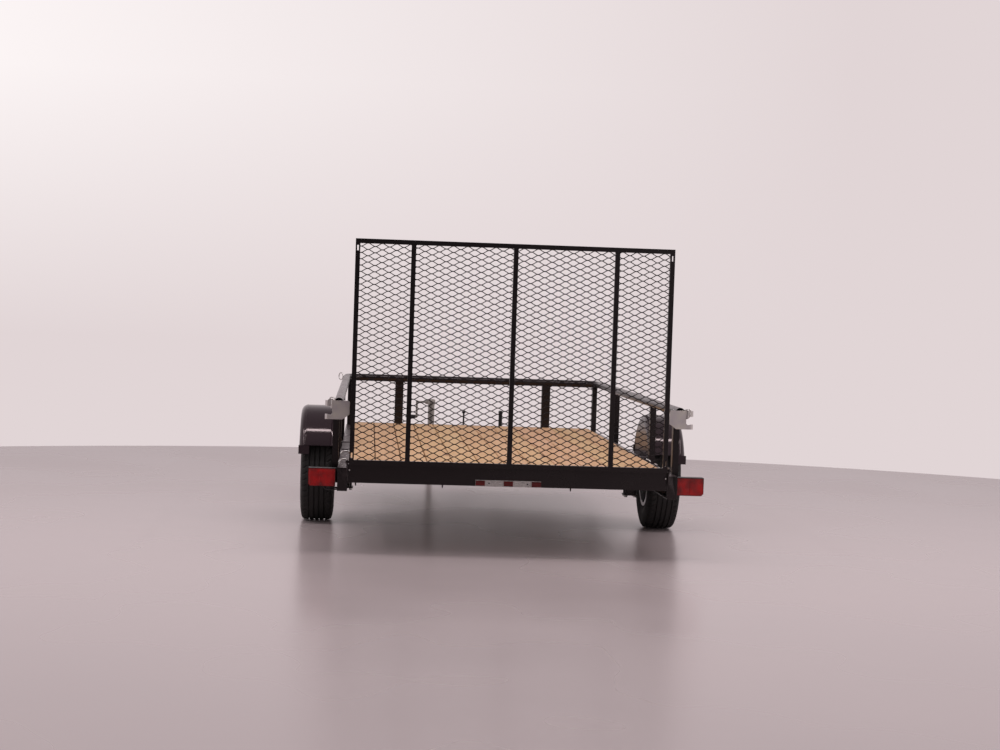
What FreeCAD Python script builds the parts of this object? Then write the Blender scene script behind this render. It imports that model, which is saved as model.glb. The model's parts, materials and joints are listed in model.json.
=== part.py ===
import FreeCAD, Part
import Sketcher
import math
import os

# Single-axle utility trailer with a mesh rear gate and a swivel jack.
# All lengths are in mm. X points right, Y forward to the coupler, Z up.
# Sizes along Y count from the rear face of the frame, and Z = 0 is the ground.

os.makedirs("parts", exist_ok=True)
doc = FreeCAD.newDocument("utility_trailer")

# Driving sizes: name, value, meaning
SIZES = (
    ("bed_length", 3658.0, "frame from rear face to front face"),
    ("frame_half", 921.0, "half width over the side rails"),
    ("rail_rise", 16.0, "side rails above the main spring leaf"),
    ("rail_height", 127.0, "side rail depth"),
    ("rail_flange", 54.0, "side rail flange width"),
    ("rail_wall", 6.0, "side rail wall"),
    ("cross_rise", 46.0, "crossmembers above the underside of the side rails"),
    ("cross_height", 100.0, "end crossmember depth"),
    ("cross_flange", 40.0, "rear crossmember flange"),
    ("cross_wall", 5.0, "crossmember wall"),
    ("front_flange", 54.0, "front crossmember flange"),
    ("inner_count", 8.0, "crossmembers between the ends"),
    ("inner_flange", 38.0, "inner crossmember flange"),
    ("plank_rise", 2.0, "deck surface above the end crossmembers"),
    ("plank_thick", 38.0, "plank thickness"),
    ("plank_width", 140.0, "plank width"),
    ("plank_gap", 3.6, "gap between planks"),
    ("deck_gap", 7.2, "gap from the outer planks to the side rails"),
    ("seat_gap", 0.3, "gap between pieces that rest on each other"),
    ("plank_end_gap", 3.0, "gap from plank ends to the end flanges"),
    ("tube_radius", 25.5, "top rail tube radius"),
    ("tube_wall", 3.0, "top rail tube wall"),
    ("tube_rise", 349.0, "top rail axis above the side rails"),
    ("tube_out", 3.0, "top rail side axis out from the frame side"),
    ("tube_inset", 25.0, "front top rail axis behind the frame front"),
    ("bend_radius", 118.0, "top rail corner bend"),
    ("post_width", 50.0, "posts along the rail"),
    ("post_thick", 34.0, "side posts across the trailer"),
    ("post_wall", 3.0, "post wall"),
    ("post_drop", 14.0, "post top below the tube axis"),
    ("post_lap", 100.0, "side post foot below the rail top"),
    ("corner_post_in", 23.5, "corner post axis in from the frame side"),
    ("corner_post_back", 55.0, "corner post axis behind the frame front"),
    ("side_post_rear", 210.0, "rear post, from the rear"),
    ("side_post_middle", 1050.0, "post behind the fender, from the rear"),
    ("side_post_front", 2665.0, "post ahead of the fender, from the rear"),
    ("front_post_x", 540.0, "front post axis from the centre"),
    ("front_post_width", 60.0, "front post width"),
    ("gate_margin", 61.0, "gate side in from the frame side"),
    ("gate_height", 1209.5, "gate from foot to top"),
    ("gate_tube", 25.0, "gate member section"),
    ("gate_upright_x", 549.0, "outer gate uprights from the centre"),
    ("slot_width", 9.0, "slot in the gate side members"),
    ("slot_length", 29.0, "slot length"),
    ("slot_end", 35.0, "slot from the end of the member"),
    ("hinge_y", 20.0, "gate hinge axis behind the frame"),
    ("hinge_rise", 13.0, "gate hinge axis above the rear crossmember"),
    ("hinge_pin", 8.0, "gate hinge pin radius"),
    ("pin_play", 0.05, "radial play of a pin in its bore"),
    ("ear_half", 16.0, "half width of a hinge ear"),
    ("ear_thick", 8.0, "hinge ear thickness"),
    ("ear_drop", 48.0, "hinge ear foot below the rail top"),
    ("ear_gap", 6.0, "side gap from gate to ear and latch plate"),
    ("mesh_long", 76.2, "mesh diamond, long way"),
    ("mesh_short", 33.8, "mesh diamond, short way"),
    ("mesh_lap", 7.5, "mesh lap on the gate members"),
    ("strand_width", 3.4, "mesh strand width"),
    ("strand_thick", 1.5, "mesh strand thickness"),
    ("latch_drop", 91.0, "latch plate foot below the top rail axis"),
    ("latch_size", 101.0, "latch plate height and width"),
    ("latch_thick", 5.0, "latch plate thickness"),
    ("latch_reach", 30.0, "reach of the latch prongs"),
    ("latch_prong", 28.0, "height of the lower latch prong"),
    ("latch_hook", 36.0, "height of the upper latch prong"),
    ("latch_tip", 9.0, "cut corners of the latch plate"),
    ("latch_slope", 27.0, "height of the sloped lower corner"),
    ("latch_slant", 38.0, "width of the sloped lower corner"),
    ("latch_bend", 12.0, "bent ends of the latch prongs"),
    ("lamp_width", 147.0, "tail lamp width"),
    ("lamp_height", 97.0, "tail lamp height"),
    ("lamp_rise", 17.0, "tail lamp above the underside of the side rail"),
    ("lamp_gap", 11.0, "gap from rail to lamp"),
    ("lamp_back", 62.0, "tail lamp face ahead of the frame end"),
    ("lamp_corner", 12.0, "cut lower corner of the lamp"),
    ("lens_depth", 18.0, "lens depth"),
    ("case_depth", 42.0, "lamp case depth"),
    ("case_step", 2.0, "lamp case in from the lens edge"),
    ("bar_half", 178.0, "half length of the lamp bar"),
    ("bar_height", 34.0, "lamp bar height"),
    ("bar_thick", 6.0, "lamp bar thickness"),
    ("bar_pitch", 152.0, "distance between bar lenses"),
    ("bar_lens", 50.0, "bar lens width"),
    ("bar_margin", 3.0, "bar lens in from the bar edge"),
    ("bar_dome", 12.0, "bar lens thickness"),
    ("axle_y", 1555.0, "axle from the rear"),
    ("wheel_out", 141.0, "wheel centre out from the frame side"),
    ("tyre_radius", 332.0, "tyre outer radius"),
    ("tyre_half", 102.5, "half width of the tyre"),
    ("rim_half", 85.0, "half width between rim flanges"),
    ("rim_radius", 178.0, "rim bead seat radius"),
    ("rim_wall", 5.0, "rim wall"),
    ("flange_radius", 195.0, "rim flange radius"),
    ("well_radius", 156.0, "rim well radius"),
    ("well_half", 34.0, "half width of the rim well"),
    ("seat_width", 26.0, "bead seat width"),
    ("disc_dish", 22.0, "rise of the vented ring of the disc"),
    ("disc_face", 74.0, "radius of the flat middle of the disc"),
    ("vent_count", 10.0, "vents in the wheel disc"),
    ("vent_radius", 12.0, "vent radius"),
    ("vent_circle", 115.0, "vent circle radius"),
    ("vent_land", 5.0, "flat metal beside a vent"),
    ("centre_hole", 42.0, "wheel centre hole radius"),
    ("stud_count", 5.0, "wheel studs"),
    ("stud_circle", 57.15, "wheel stud circle radius"),
    ("stud_radius", 6.4, "wheel stud radius"),
    ("stud_hole", 7.0, "wheel stud hole radius"),
    ("nut_radius", 11.0, "wheel nut radius over the corners"),
    ("nut_length", 18.0, "wheel nut length"),
    ("hub_radius", 38.0, "hub barrel radius"),
    ("hub_flange", 72.0, "hub flange radius"),
    ("hub_plate", 12.0, "hub flange thickness"),
    ("hub_length", 76.0, "hub behind the wheel face"),
    ("cap_radius", 29.0, "dust cap radius"),
    ("cap_length", 36.0, "dust cap ahead of the wheel face"),
    ("cap_dome", 10.0, "rounding of the dust cap"),
    ("cap_wall", 4.0, "dust cap wall"),
    ("spindle_radius", 20.0, "spindle radius"),
    ("beam_radius", 30.0, "axle tube radius"),
    ("axle_drop", 66.0, "axle tube below the wheel centre"),
    ("leg_gap", 9.0, "gap from the frame side to the drop leg"),
    ("leg_thick", 26.0, "axle drop leg thickness"),
    ("fender_radius", 378.0, "fender crown radius"),
    ("fender_wall", 2.5, "fender sheet"),
    ("fender_gap", 29.0, "gap from the frame side to the fender"),
    ("fender_width", 223.0, "fender width"),
    ("fender_bow", 40.0, "fender shoulder radius"),
    ("fender_depth", 70.0, "fender skirt below the crown"),
    ("panel_drop", 30.0, "inner fender panel below the rail top"),
    ("fender_cut", 23.5, "fender ends above the axle, degrees"),
    ("fender_lip", 3.0, "raised end of the fender"),
    ("lip_turn", 0.8, "width of the raised end, degrees"),
    ("foot_width", 64.0, "fender foot width"),
    ("foot_depth", 26.0, "fender foot along the trailer"),
    ("foot_drop", 52.0, "fender foot height"),
    ("bracket_width", 40.0, "fender bracket width"),
    ("bracket_rise", 38.0, "fender bracket height"),
    ("bracket_back", 78.0, "fender bracket in from the fender end"),
    ("bracket_lap", 44.0, "fender bracket over the side rail"),
    ("bracket_thick", 5.0, "fender bracket sheet"),
    ("spring_in", 34.0, "spring centre in from the frame side"),
    ("spring_width", 44.0, "leaf width"),
    ("leaf_thick", 6.0, "leaf thickness"),
    ("spring_half", 320.0, "axle to spring eye"),
    ("spring_bow", 10.0, "rise of the main leaf at its eyes"),
    ("eye_radius", 12.0, "spring eye outer radius"),
    ("bolt_radius", 7.0, "spring bolt radius"),
    ("bolt_play", 0.2, "play of the spring bolt in its eye"),
    ("pad_thick", 4.0, "spring pad on the axle"),
    ("pad_wall", 4.0, "spring saddle beside the axle tube"),
    ("saddle_depth", 26.0, "saddle below the axle tube"),
    ("clamp_half", 48.0, "half length of the spring clamp plate"),
    ("clamp_thick", 8.0, "spring clamp plate"),
    ("clamp_lap", 20.0, "clamp plate beyond the leaf side"),
    ("u_bolt", 6.0, "U-bolt radius"),
    ("u_bolt_y", 38.0, "U-bolt from the axle"),
    ("u_bolt_gap", 7.0, "U-bolt centre from the leaf side"),
    ("strap_thick", 6.0, "spring hanger plate"),
    ("strap_gap", 0.8, "side gap from leaf to spring hanger"),
    ("strap_half", 24.0, "half width of a spring hanger"),
    ("strap_drop", 18.0, "spring hanger below its bolt"),
    ("tongue_angle", 25.0, "tongue rail from the centre line, degrees"),
    ("tongue_height", 75.0, "tongue rail depth"),
    ("tongue_width", 38.0, "tongue rail width"),
    ("tongue_wall", 5.0, "tongue rail wall"),
    ("tongue_tip_x", 30.0, "tongue rail axis at the tip"),
    ("tongue_reach", 1132.0, "tongue tip ahead of the frame"),
    ("plate_length", 210.0, "coupler plate behind the tongue tip"),
    ("plate_margin", 12.0, "coupler plate beyond the rail axis at the tip"),
    ("nose_half", 30.0, "half width of the coupler nose"),
    ("nose_rise", 24.0, "coupler nose above the socket rim"),
    ("ball_ahead", 87.0, "hitch ball centre ahead of the tongue tip"),
    ("ball_radius", 25.8, "coupler socket radius"),
    ("socket_wall", 6.0, "coupler socket wall"),
    ("socket_drop", 25.7, "coupler socket below the tongue top"),
    ("socket_straight", 24.0, "straight part of the socket"),
    ("lever_back", 78.0, "coupler lever behind the ball"),
    ("lever_rise", 132.0, "coupler lever height"),
    ("lever_foot", 34.0, "coupler lever length at its foot"),
    ("lever_half", 6.0, "half thickness of the coupler lever"),
    ("handle_half", 14.0, "half width of the lever handle"),
    ("handle_radius", 9.0, "lever handle radius"),
    ("jack_offset", 100.0, "jack axis out from the tongue rail axis"),
    ("jack_back", 322.0, "jack behind the tongue tip"),
    ("jack_radius", 25.0, "jack tube radius"),
    ("jack_wall", 3.0, "jack tube wall"),
    ("jack_above", 270.8, "jack tube above its pivot"),
    ("jack_below", 139.2, "jack tube below its pivot"),
    ("leg_play", 0.4, "jack leg play in its tube"),
    ("leg_in", 60.0, "jack leg top below the tube top"),
    ("cap_side", 5.0, "jack cap beyond the tube"),
    ("cap_height", 42.0, "jack cap height"),
    ("cap_above", 8.0, "jack cap above the tube"),
    ("jack_foot", 52.0, "half width of the jack foot"),
    ("jack_foot_thick", 6.0, "jack foot thickness"),
    ("pivot_radius", 20.0, "jack pivot radius"),
    ("pivot_length", 30.0, "jack pivot length"),
    ("sleeve_wall", 7.0, "pivot sleeve wall"),
    ("swivel_gap", 2.0, "side gap from pivot sleeve to mount plate"),
    ("mount_thick", 8.0, "jack mount plate thickness"),
    ("mount_half", 48.0, "half length of the jack mount plate"),
    ("crank_reach", 102.0, "crank shaft beyond the jack tube"),
    ("crank_drop", 116.0, "crank handle below the shaft"),
    ("crank_radius", 7.0, "crank shaft radius"),
    ("crank_thick", 8.0, "crank arm thickness"),
    ("grip_radius", 11.0, "crank handle radius"),
    ("grip_length", 86.0, "crank handle length"),
    ("gear_radius", 15.0, "crank gear boss radius"),
    ("gear_length", 22.0, "crank gear boss beyond the tube"),
    ("holder_back", 490.0, "plug holder behind the tongue tip"),
    ("holder_width", 28.0, "plug holder width"),
    ("holder_thick", 4.0, "plug holder sheet"),
    ("holder_height", 178.0, "plug holder height"),
    ("plug_radius", 15.0, "plug socket radius"),
    ("plug_length", 60.0, "plug socket length"),
)


class Size:
    """A length that keeps its value and the sheet rule it came from."""

    def __init__(self, mm, rule):
        self.mm = mm
        self.rule = rule

    def __add__(self, other):
        other = size(other)
        return Size(self.mm + other.mm, "(%s + %s)" % (self.rule, other.rule))

    def __radd__(self, other):
        return size(other) + self

    def __sub__(self, other):
        other = size(other)
        return Size(self.mm - other.mm, "(%s - %s)" % (self.rule, other.rule))

    def __rsub__(self, other):
        return size(other) - self

    def __mul__(self, other):
        other = size(other)
        return Size(self.mm * other.mm, "(%s * %s)" % (self.rule, other.rule))

    def __rmul__(self, other):
        return size(other) * self

    def __truediv__(self, other):
        other = size(other)
        return Size(self.mm / other.mm, "(%s / %s)" % (self.rule, other.rule))

    def __neg__(self):
        return Size(-self.mm, "(0 - %s)" % self.rule)


def size(value):
    """Any number as a Size."""
    return value if isinstance(value, Size) else Size(float(value), "%.6g" % value)


class Names:
    pass


S = Names()
sheet = doc.addObject("Spreadsheet::Sheet", "sizes")
for row, (name, value, meaning) in enumerate(SIZES, 1):
    sheet.set("A%d" % row, name)
    sheet.set("B%d" % row, "%.6g" % value)
    sheet.set("C%d" % row, meaning)
    sheet.setAlias("B%d" % row, name)
    setattr(S, name, Size(value, "sizes." + name))
doc.recompute()

X_AXIS = FreeCAD.Vector(1, 0, 0)
Y_AXIS = FreeCAD.Vector(0, 1, 0)
Z_AXIS = FreeCAD.Vector(0, 0, 1)
ORIGIN = FreeCAD.Vector()
ZERO = size(0)
# How far cutters and joined pieces run past a face, in mm
PAST = 1
TURN = {
    "x": FreeCAD.Rotation(Y_AXIS, 90),
    "y": FreeCAD.Rotation(X_AXIS, -90),
    "z": FreeCAD.Rotation(),
}
nodes = []

# Heights, stacked up from the ground
wheel_z = S.tyre_radius
beam_z = wheel_z - S.axle_drop
beam_top = beam_z + S.beam_radius
leaf_low = beam_top + S.pad_thick
leaf_top = leaf_low + S.leaf_thick * 3
rail_bottom = leaf_top + S.rail_rise
rail_top = rail_bottom + S.rail_height
cross_bottom = rail_bottom + S.cross_rise
cross_top = cross_bottom + S.cross_height
plank_top = cross_top + S.plank_rise
plank_low = plank_top - S.plank_thick
hinge_z = cross_top + S.hinge_rise
tube_z = rail_top + S.tube_rise
tongue_top = cross_bottom - S.seat_gap
tongue_low = tongue_top - S.tongue_height

# Widths, counted from the frame side
rail_inner = S.frame_half - S.rail_flange
gate_half = S.frame_half - S.gate_margin
tube_half = S.frame_half + S.tube_out
wheel_x = S.frame_half + S.wheel_out

# Lengths, counted from the frame's rear face
tongue_tip_y = S.bed_length + S.tongue_reach
inner_pitch = S.bed_length / (S.inner_count + 1)
tongue_back_y = S.bed_length - inner_pitch - S.inner_flange / 2
ball_y = tongue_tip_y + S.ball_ahead

# The origin is under the middle of the whole length, from hinge ears to coupler
middle_y = (ball_y + S.ball_radius + S.socket_wall - S.hinge_y - S.ear_half) / 2


def bind(obj, **rules):
    """Tie properties to the sheet."""
    for prop, rule in rules.items():
        obj.setExpression(prop, size(rule).rule)


def place(obj, x, y, z):
    """Tie an object's place to the sheet, with y counted from the frame's rear face."""
    for axis, rule in (("x", x), ("y", size(y) - middle_y), ("z", z)):
        obj.setExpression("Placement.Base." + axis, size(rule).rule)


def block(x, y, z):
    """Box between pairs of limits on the three axes."""
    obj = doc.addObject("Part::Box", "block")
    bind(obj, Length=x[1] - x[0], Width=y[1] - y[0], Height=z[1] - z[0])
    place(obj, x[0], y[0], z[0])
    return obj


def rod(axis, start, length, radius):
    """Cylinder from a start point along x, y or z."""
    obj = doc.addObject("Part::Cylinder", "rod")
    bind(obj, Radius=radius, Height=length)
    obj.Placement = FreeCAD.Placement(ORIGIN, TURN[axis])
    place(obj, *start)
    return obj


def ball(centre, radius):
    """Whole sphere."""
    obj = doc.addObject("Part::Sphere", "ball")
    bind(obj, Radius=radius)
    place(obj, *centre)
    return obj


def cut(base, *tools):
    """Base without the tools."""
    obj = doc.addObject("Part::Cut", "cut")
    obj.Base = base
    obj.Tool = tools[0] if len(tools) == 1 else fuse(*tools)
    return obj


def fuse(*parts):
    """One solid from parts that meet."""
    obj = doc.addObject("Part::MultiFuse", "fusion")
    obj.Shapes = list(parts)
    obj.Refine = True
    return obj


def gather(*parts):
    """Separate solids that share a node."""
    obj = doc.addObject("Part::Compound", "group")
    obj.Links = list(parts)
    return obj


def mirror(source):
    """The same piece on the other side."""
    obj = doc.addObject("Part::Mirroring", "mirror")
    obj.Source = source
    obj.Normal = X_AXIS
    return obj


def node(label, obj):
    """Name a finished piece."""
    obj.Label = label
    nodes.append(obj)
    return obj


def pair(label, right):
    """Name a right piece and its left twin."""
    node(label + "_right", right)
    node(label + "_left", mirror(right))


def keep(label, shape, spot=FreeCAD.Placement()):
    """Keep a built shape as an object, its place counted from the frame's rear face."""
    obj = doc.addObject("Part::Feature", label)
    obj.Shape = shape
    base = spot.Base - FreeCAD.Vector(0, middle_y.mm, 0)
    obj.Placement = FreeCAD.Placement(base, spot.Rotation)
    return obj


def outline(body, role, corners):
    """Closed sketch of straight edges on an origin plane, each corner tied to the sheet."""
    sketch = body.newObject("Sketcher::SketchObject", "outline")
    plane = [item for item in body.Origin.OriginFeatures if item.Role == role][0]
    sketch.AttachmentSupport = (plane, [""])
    sketch.MapMode = "FlatFace"
    corners = [(size(a), size(b)) for a, b in corners]
    points = [FreeCAD.Vector(a.mm, b.mm, 0) for a, b in corners]
    for index, point in enumerate(points):
        sketch.addGeometry(Part.LineSegment(point, points[(index + 1) % len(points)]), False)
    for index in range(len(points)):
        after = (index + 1) % len(points)
        sketch.addConstraint(Sketcher.Constraint("Coincident", index, 2, after, 1))
    for index, (a, b) in enumerate(corners):
        for kind, rule in (("DistanceX", a), ("DistanceY", b)):
            spot = sketch.addConstraint(Sketcher.Constraint(kind, -1, 1, index, 1, rule.mm))
            sketch.setExpression("Constraints[%d]" % spot, rule.rule)
    return sketch


def pad(role, corners, length, spot):
    """Outline given a thickness. On XZ it grows to the rear, on YZ to the right, on XY up."""
    body = doc.addObject("PartDesign::Body", "body")
    made = body.newObject("PartDesign::Pad", "thickness")
    made.Profile = outline(body, role, corners)
    bind(made, Length=length)
    body.Tip = made
    place(body, *spot)
    return body


def section(points, across=X_AXIS, up=Z_AXIS):
    """Closed face from corners. A corner with a third value is a point that an arc passes."""
    spots = [across * p[0] + up * p[1] for p in points]
    edges, index, count = [], 0, len(points)
    while index < count:
        after = (index + 1) % count
        if len(points[after]) == 3:
            edges.append(Part.Arc(spots[index], spots[after], spots[(index + 2) % count]).toShape())
            index += 2
        else:
            edges.append(Part.makeLine(spots[index], spots[after]))
            index += 1
    return Part.Face(Part.Wire(edges))


# Frame
ear_start = gate_half + S.ear_gap
ear_end = ear_start + S.ear_thick
ear_top = hinge_z + S.ear_half
ear_foot = rail_top - S.ear_drop

rail = pad("XZ_Plane", [
    (rail_inner, rail_bottom),
    (S.frame_half, rail_bottom),
    (S.frame_half, rail_top),
    (rail_inner, rail_top),
    (rail_inner, rail_top - S.rail_wall),
    (S.frame_half - S.rail_wall, rail_top - S.rail_wall),
    (S.frame_half - S.rail_wall, rail_bottom + S.rail_wall),
    (rail_inner, rail_bottom + S.rail_wall)], S.bed_length, (0, S.bed_length, 0))
rail_ends = [block((rail_inner, S.frame_half), span, (rail_bottom, rail_top))
             for span in ((ZERO, S.rail_wall), (S.bed_length - S.rail_wall, S.bed_length))]
ear = cut(
    fuse(
        block((ear_start, ear_end), (-S.hinge_y, ZERO), (ear_foot, ear_top)),
        rod("x", (ear_start, -S.hinge_y, hinge_z), S.ear_thick, S.ear_half),
        block((ear_start, S.frame_half - S.rail_flange / 2), (-S.ear_thick, ZERO),
              (ear_foot, rail_top))),
    rod("x", (ear_start - PAST, -S.hinge_y, hinge_z), S.ear_thick + 2 * PAST,
        S.hinge_pin + S.pin_play))
pair("side_rail", fuse(rail, *rail_ends, ear))


def channel(half, rear, front, low, high, open_front=True):
    """Crossmember: a channel whose flanges point forward, or to the rear."""
    back, face = (front, rear) if open_front else (rear, front)
    step = S.cross_wall if open_front else -S.cross_wall
    return pad("YZ_Plane", [
        (back, low), (face, low), (face, high), (back, high),
        (back, high - S.cross_wall), (face + step, high - S.cross_wall),
        (face + step, low + S.cross_wall), (back, low + S.cross_wall)], half * 2, (-half, 0, 0))


end_half = rail_inner - S.seat_gap
node("rear_crossmember", channel(end_half, ZERO, S.cross_flange, cross_bottom, cross_top))
node("front_crossmember", channel(
    end_half, S.bed_length - S.front_flange, S.bed_length, cross_bottom, cross_top, False))

inner = []
inner_half = S.frame_half - S.rail_wall - S.seat_gap
for index in range(int(S.inner_count.mm)):
    middle = inner_pitch * (index + 1)
    inner.append(channel(inner_half, middle - S.inner_flange / 2, middle + S.inner_flange / 2,
                         cross_bottom, plank_low - S.seat_gap))
node("inner_crossmembers", gather(*inner))

# As many planks as fit between the side rails
plank_pitch = S.plank_width + S.plank_gap
deck_half = rail_inner - S.deck_gap
plank_count = int(round((2 * deck_half.mm + S.plank_gap.mm) / plank_pitch.mm, 6))
planks = []
plank_run = (S.cross_flange + S.plank_end_gap, S.bed_length - S.front_flange - S.plank_end_gap)
for index in range(plank_count):
    middle = plank_pitch * (index + 0.5 - plank_count / 2)
    planks.append(block((middle - S.plank_width / 2, middle + S.plank_width / 2),
                        plank_run, (plank_low, plank_top)))
node("deck_planks", gather(*planks))

# Top rail
front_axis = S.bed_length - S.tube_inset
bend_start_y = front_axis - S.bend_radius
bend_start_x = tube_half - S.bend_radius


def side_tube(radius, extra):
    """Straight side tube, longer at both ends by extra."""
    return rod("y", (tube_half, -size(extra), tube_z), bend_start_y + extra * 2, radius)


def bend(radius, turn):
    """Quarter bend at a front corner."""
    obj = doc.addObject("Part::Torus", "bend")
    bind(obj, Radius1=S.bend_radius, Radius2=radius)
    obj.Angle3 = 90
    obj.Placement = FreeCAD.Placement(ORIGIN, FreeCAD.Rotation(Z_AXIS, turn))
    place(obj, bend_start_x if turn == 0 else -bend_start_x, bend_start_y, tube_z)
    return obj


def front_tube(radius):
    """Front tube with its two bends."""
    straight = rod("x", (-bend_start_x, front_axis, tube_z), bend_start_x * 2, radius)
    return fuse(straight, bend(radius, 0), bend(radius, 90))


tube_bore = S.tube_radius - S.tube_wall
pair("top_rail", cut(side_tube(S.tube_radius, 0), side_tube(tube_bore, PAST)))
node("top_rail_front", cut(front_tube(S.tube_radius), front_tube(tube_bore)))


def post(x, y, low, width, tool):
    """Tube post, width wide across the trailer, its top coped to the rail tube."""
    high = tube_z - S.post_drop
    half, deep = width / 2, S.post_width / 2
    wall = S.post_wall
    return cut(
        block((x - half, x + half), (y - deep, y + deep), (low, high)),
        block((x - half + wall, x + half - wall), (y - deep + wall, y + deep - wall),
              (low - PAST, high + PAST)),
        tool)


cope = S.tube_radius + S.seat_gap
post_x = S.frame_half + S.post_thick / 2
side_posts = [post(post_x, spot, rail_top - S.post_lap, S.post_thick, side_tube(cope, PAST))
              for spot in (S.side_post_rear, S.side_post_middle, S.side_post_front)]
side_posts.append(post(S.frame_half - S.corner_post_in, S.bed_length - S.corner_post_back,
                       rail_top, S.post_thick, bend(cope, 0)))
pair("rail_posts", gather(*side_posts))
node("front_posts", gather(*[
    post(S.front_post_x * sign, front_axis, cross_top, S.front_post_width, front_tube(cope))
    for sign in (-1, 1)]))

# Latch plates at the rear ends of the top rail, cut from one sheet
latch_out = ear_start + S.latch_size
latch_end = latch_out + S.latch_reach
latch_flat = latch_end - S.latch_bend
latch_low = tube_z - S.latch_drop
latch_top = latch_low + S.latch_size
hook_low = latch_top - S.latch_hook
latch_sheet = pad("XZ_Plane", [
    (ear_start, latch_low + S.latch_slope),
    (ear_start + S.latch_slant, latch_low),
    (latch_flat, latch_low),
    (latch_flat, latch_low + S.latch_prong),
    (latch_out, latch_low + S.latch_prong - S.latch_tip / 2),
    (latch_out - S.latch_tip, latch_low + S.latch_prong + S.latch_tip / 2),
    (latch_out - S.latch_tip, hook_low - S.latch_tip / 2),
    (latch_out, hook_low + S.latch_tip / 2),
    (latch_flat, hook_low + S.latch_tip / 2),
    (latch_flat, latch_top),
    (latch_flat - S.latch_tip, latch_top + S.latch_tip),
    (latch_out - S.latch_tip, latch_top + S.latch_tip),
    (latch_out - S.latch_tip * 2, latch_top),
    (ear_start + S.latch_tip, latch_top),
    (ear_start, latch_top - S.latch_tip)], S.latch_thick, (0, 0, 0))
# The prong ends are bent forward to lead the gate bar in
bent = [(latch_flat, -S.latch_thick), (latch_end, S.latch_bend - S.latch_thick),
        (latch_end, S.latch_bend), (latch_flat, ZERO)]
pair("latch_plate", fuse(
    latch_sheet,
    pad("XY_Plane", bent, S.latch_prong, (0, 0, latch_low)),
    pad("XY_Plane", bent, latch_top - hook_low - S.latch_tip / 2,
        (0, 0, hook_low + S.latch_tip / 2))))

# Lamps
lamp_in = S.frame_half + S.lamp_gap
lamp_out = lamp_in + S.lamp_width
lamp_low = rail_bottom + S.lamp_rise
lamp_top = lamp_low + S.lamp_height
lens_end = S.lamp_back + S.lens_depth
case_end = lens_end + S.case_depth


def lamp_outline(step):
    """Rectangle with its lower outer corner cut, drawn in by a step."""
    inner, outer = lamp_in + step, lamp_out - step
    low, high = lamp_low + step, lamp_top - step
    return [(inner, low), (outer - S.lamp_corner, low), (outer, low + S.lamp_corner),
            (outer, high), (inner, high)]


pair("lamp_lens", pad("XZ_Plane", lamp_outline(0), S.lens_depth, (0, lens_end, 0)))
pair("lamp_case", fuse(
    pad("XZ_Plane", lamp_outline(S.case_step), S.case_depth, (0, case_end, 0)),
    block((S.frame_half, lamp_out - S.lamp_width / 4), (case_end, case_end + S.cross_wall),
          (lamp_low + S.lamp_height / 6, lamp_top)),
    block((lamp_in, lamp_out), (S.lamp_back, lens_end),
          (lamp_top + S.seat_gap, lamp_top + S.seat_gap + S.case_step)),
    block((lamp_in, lamp_out), (lens_end, case_end),
          (lamp_top - S.case_step, lamp_top + S.seat_gap + S.case_step))))
bar_rows = (cross_bottom, cross_bottom + S.bar_height)
node("lamp_bar", block((-S.bar_half, S.bar_half), (-S.bar_thick, ZERO), bar_rows))
dome = S.bar_thick + S.bar_dome
lens_rows = []
for spot in (-1, 0, 1):
    # Each bar lens is a bar with its front edges cut at a slope
    lens_rows.append(pad("YZ_Plane", [
        (-S.bar_thick, bar_rows[0] + S.bar_margin),
        (-S.bar_thick, bar_rows[1] - S.bar_margin),
        (-S.bar_thick - S.bar_dome / 2, bar_rows[1] - S.bar_margin),
        (-dome, bar_rows[1] - S.bar_margin * 2),
        (-dome, bar_rows[0] + S.bar_margin * 2),
        (-S.bar_thick - S.bar_dome / 2, bar_rows[0] + S.bar_margin)],
        S.bar_lens, (S.bar_pitch * spot - S.bar_lens / 2, 0, 0)))
node("lamp_bar_lenses", gather(*lens_rows))

# Gate
gate_low = hinge_z - S.gate_tube / 2
gate_top = gate_low + S.gate_height
gate_y = (-S.hinge_y - S.gate_tube / 2, -S.hinge_y + S.gate_tube / 2)


def gate_bar(x, z):
    """Square gate member."""
    return block(x, gate_y, z)


side_in = gate_half - S.gate_tube
gate_bars = [
    gate_bar((-gate_half, gate_half), (gate_low, gate_low + S.gate_tube)),
    gate_bar((-gate_half, gate_half), (gate_top - S.gate_tube, gate_top)),
    gate_bar((-gate_half, -side_in), (gate_low, gate_top)),
    gate_bar((side_in, gate_half), (gate_low, gate_top))]
for column in (-1, 0, 1):
    middle = S.gate_upright_x * column
    gate_bars.append(gate_bar((middle - S.gate_tube / 2, middle + S.gate_tube / 2),
                              (gate_low, gate_top)))
pin_end = ear_end + S.ear_gap
for start in (gate_half, -pin_end):
    gate_bars.append(rod("x", (start, -S.hinge_y, hinge_z), pin_end - gate_half, S.hinge_pin))
slot_middle = gate_half - S.gate_tube / 2
slots = []
for middle in (-slot_middle, slot_middle):
    for low in (gate_low + S.slot_end, gate_top - S.slot_end - S.slot_length):
        slots.append(block((middle - S.slot_width / 2, middle + S.slot_width / 2),
                           (gate_y[0] - PAST, gate_y[1] + PAST), (low, low + S.slot_length)))
node("gate_frame", cut(fuse(*gate_bars), *slots))


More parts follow.
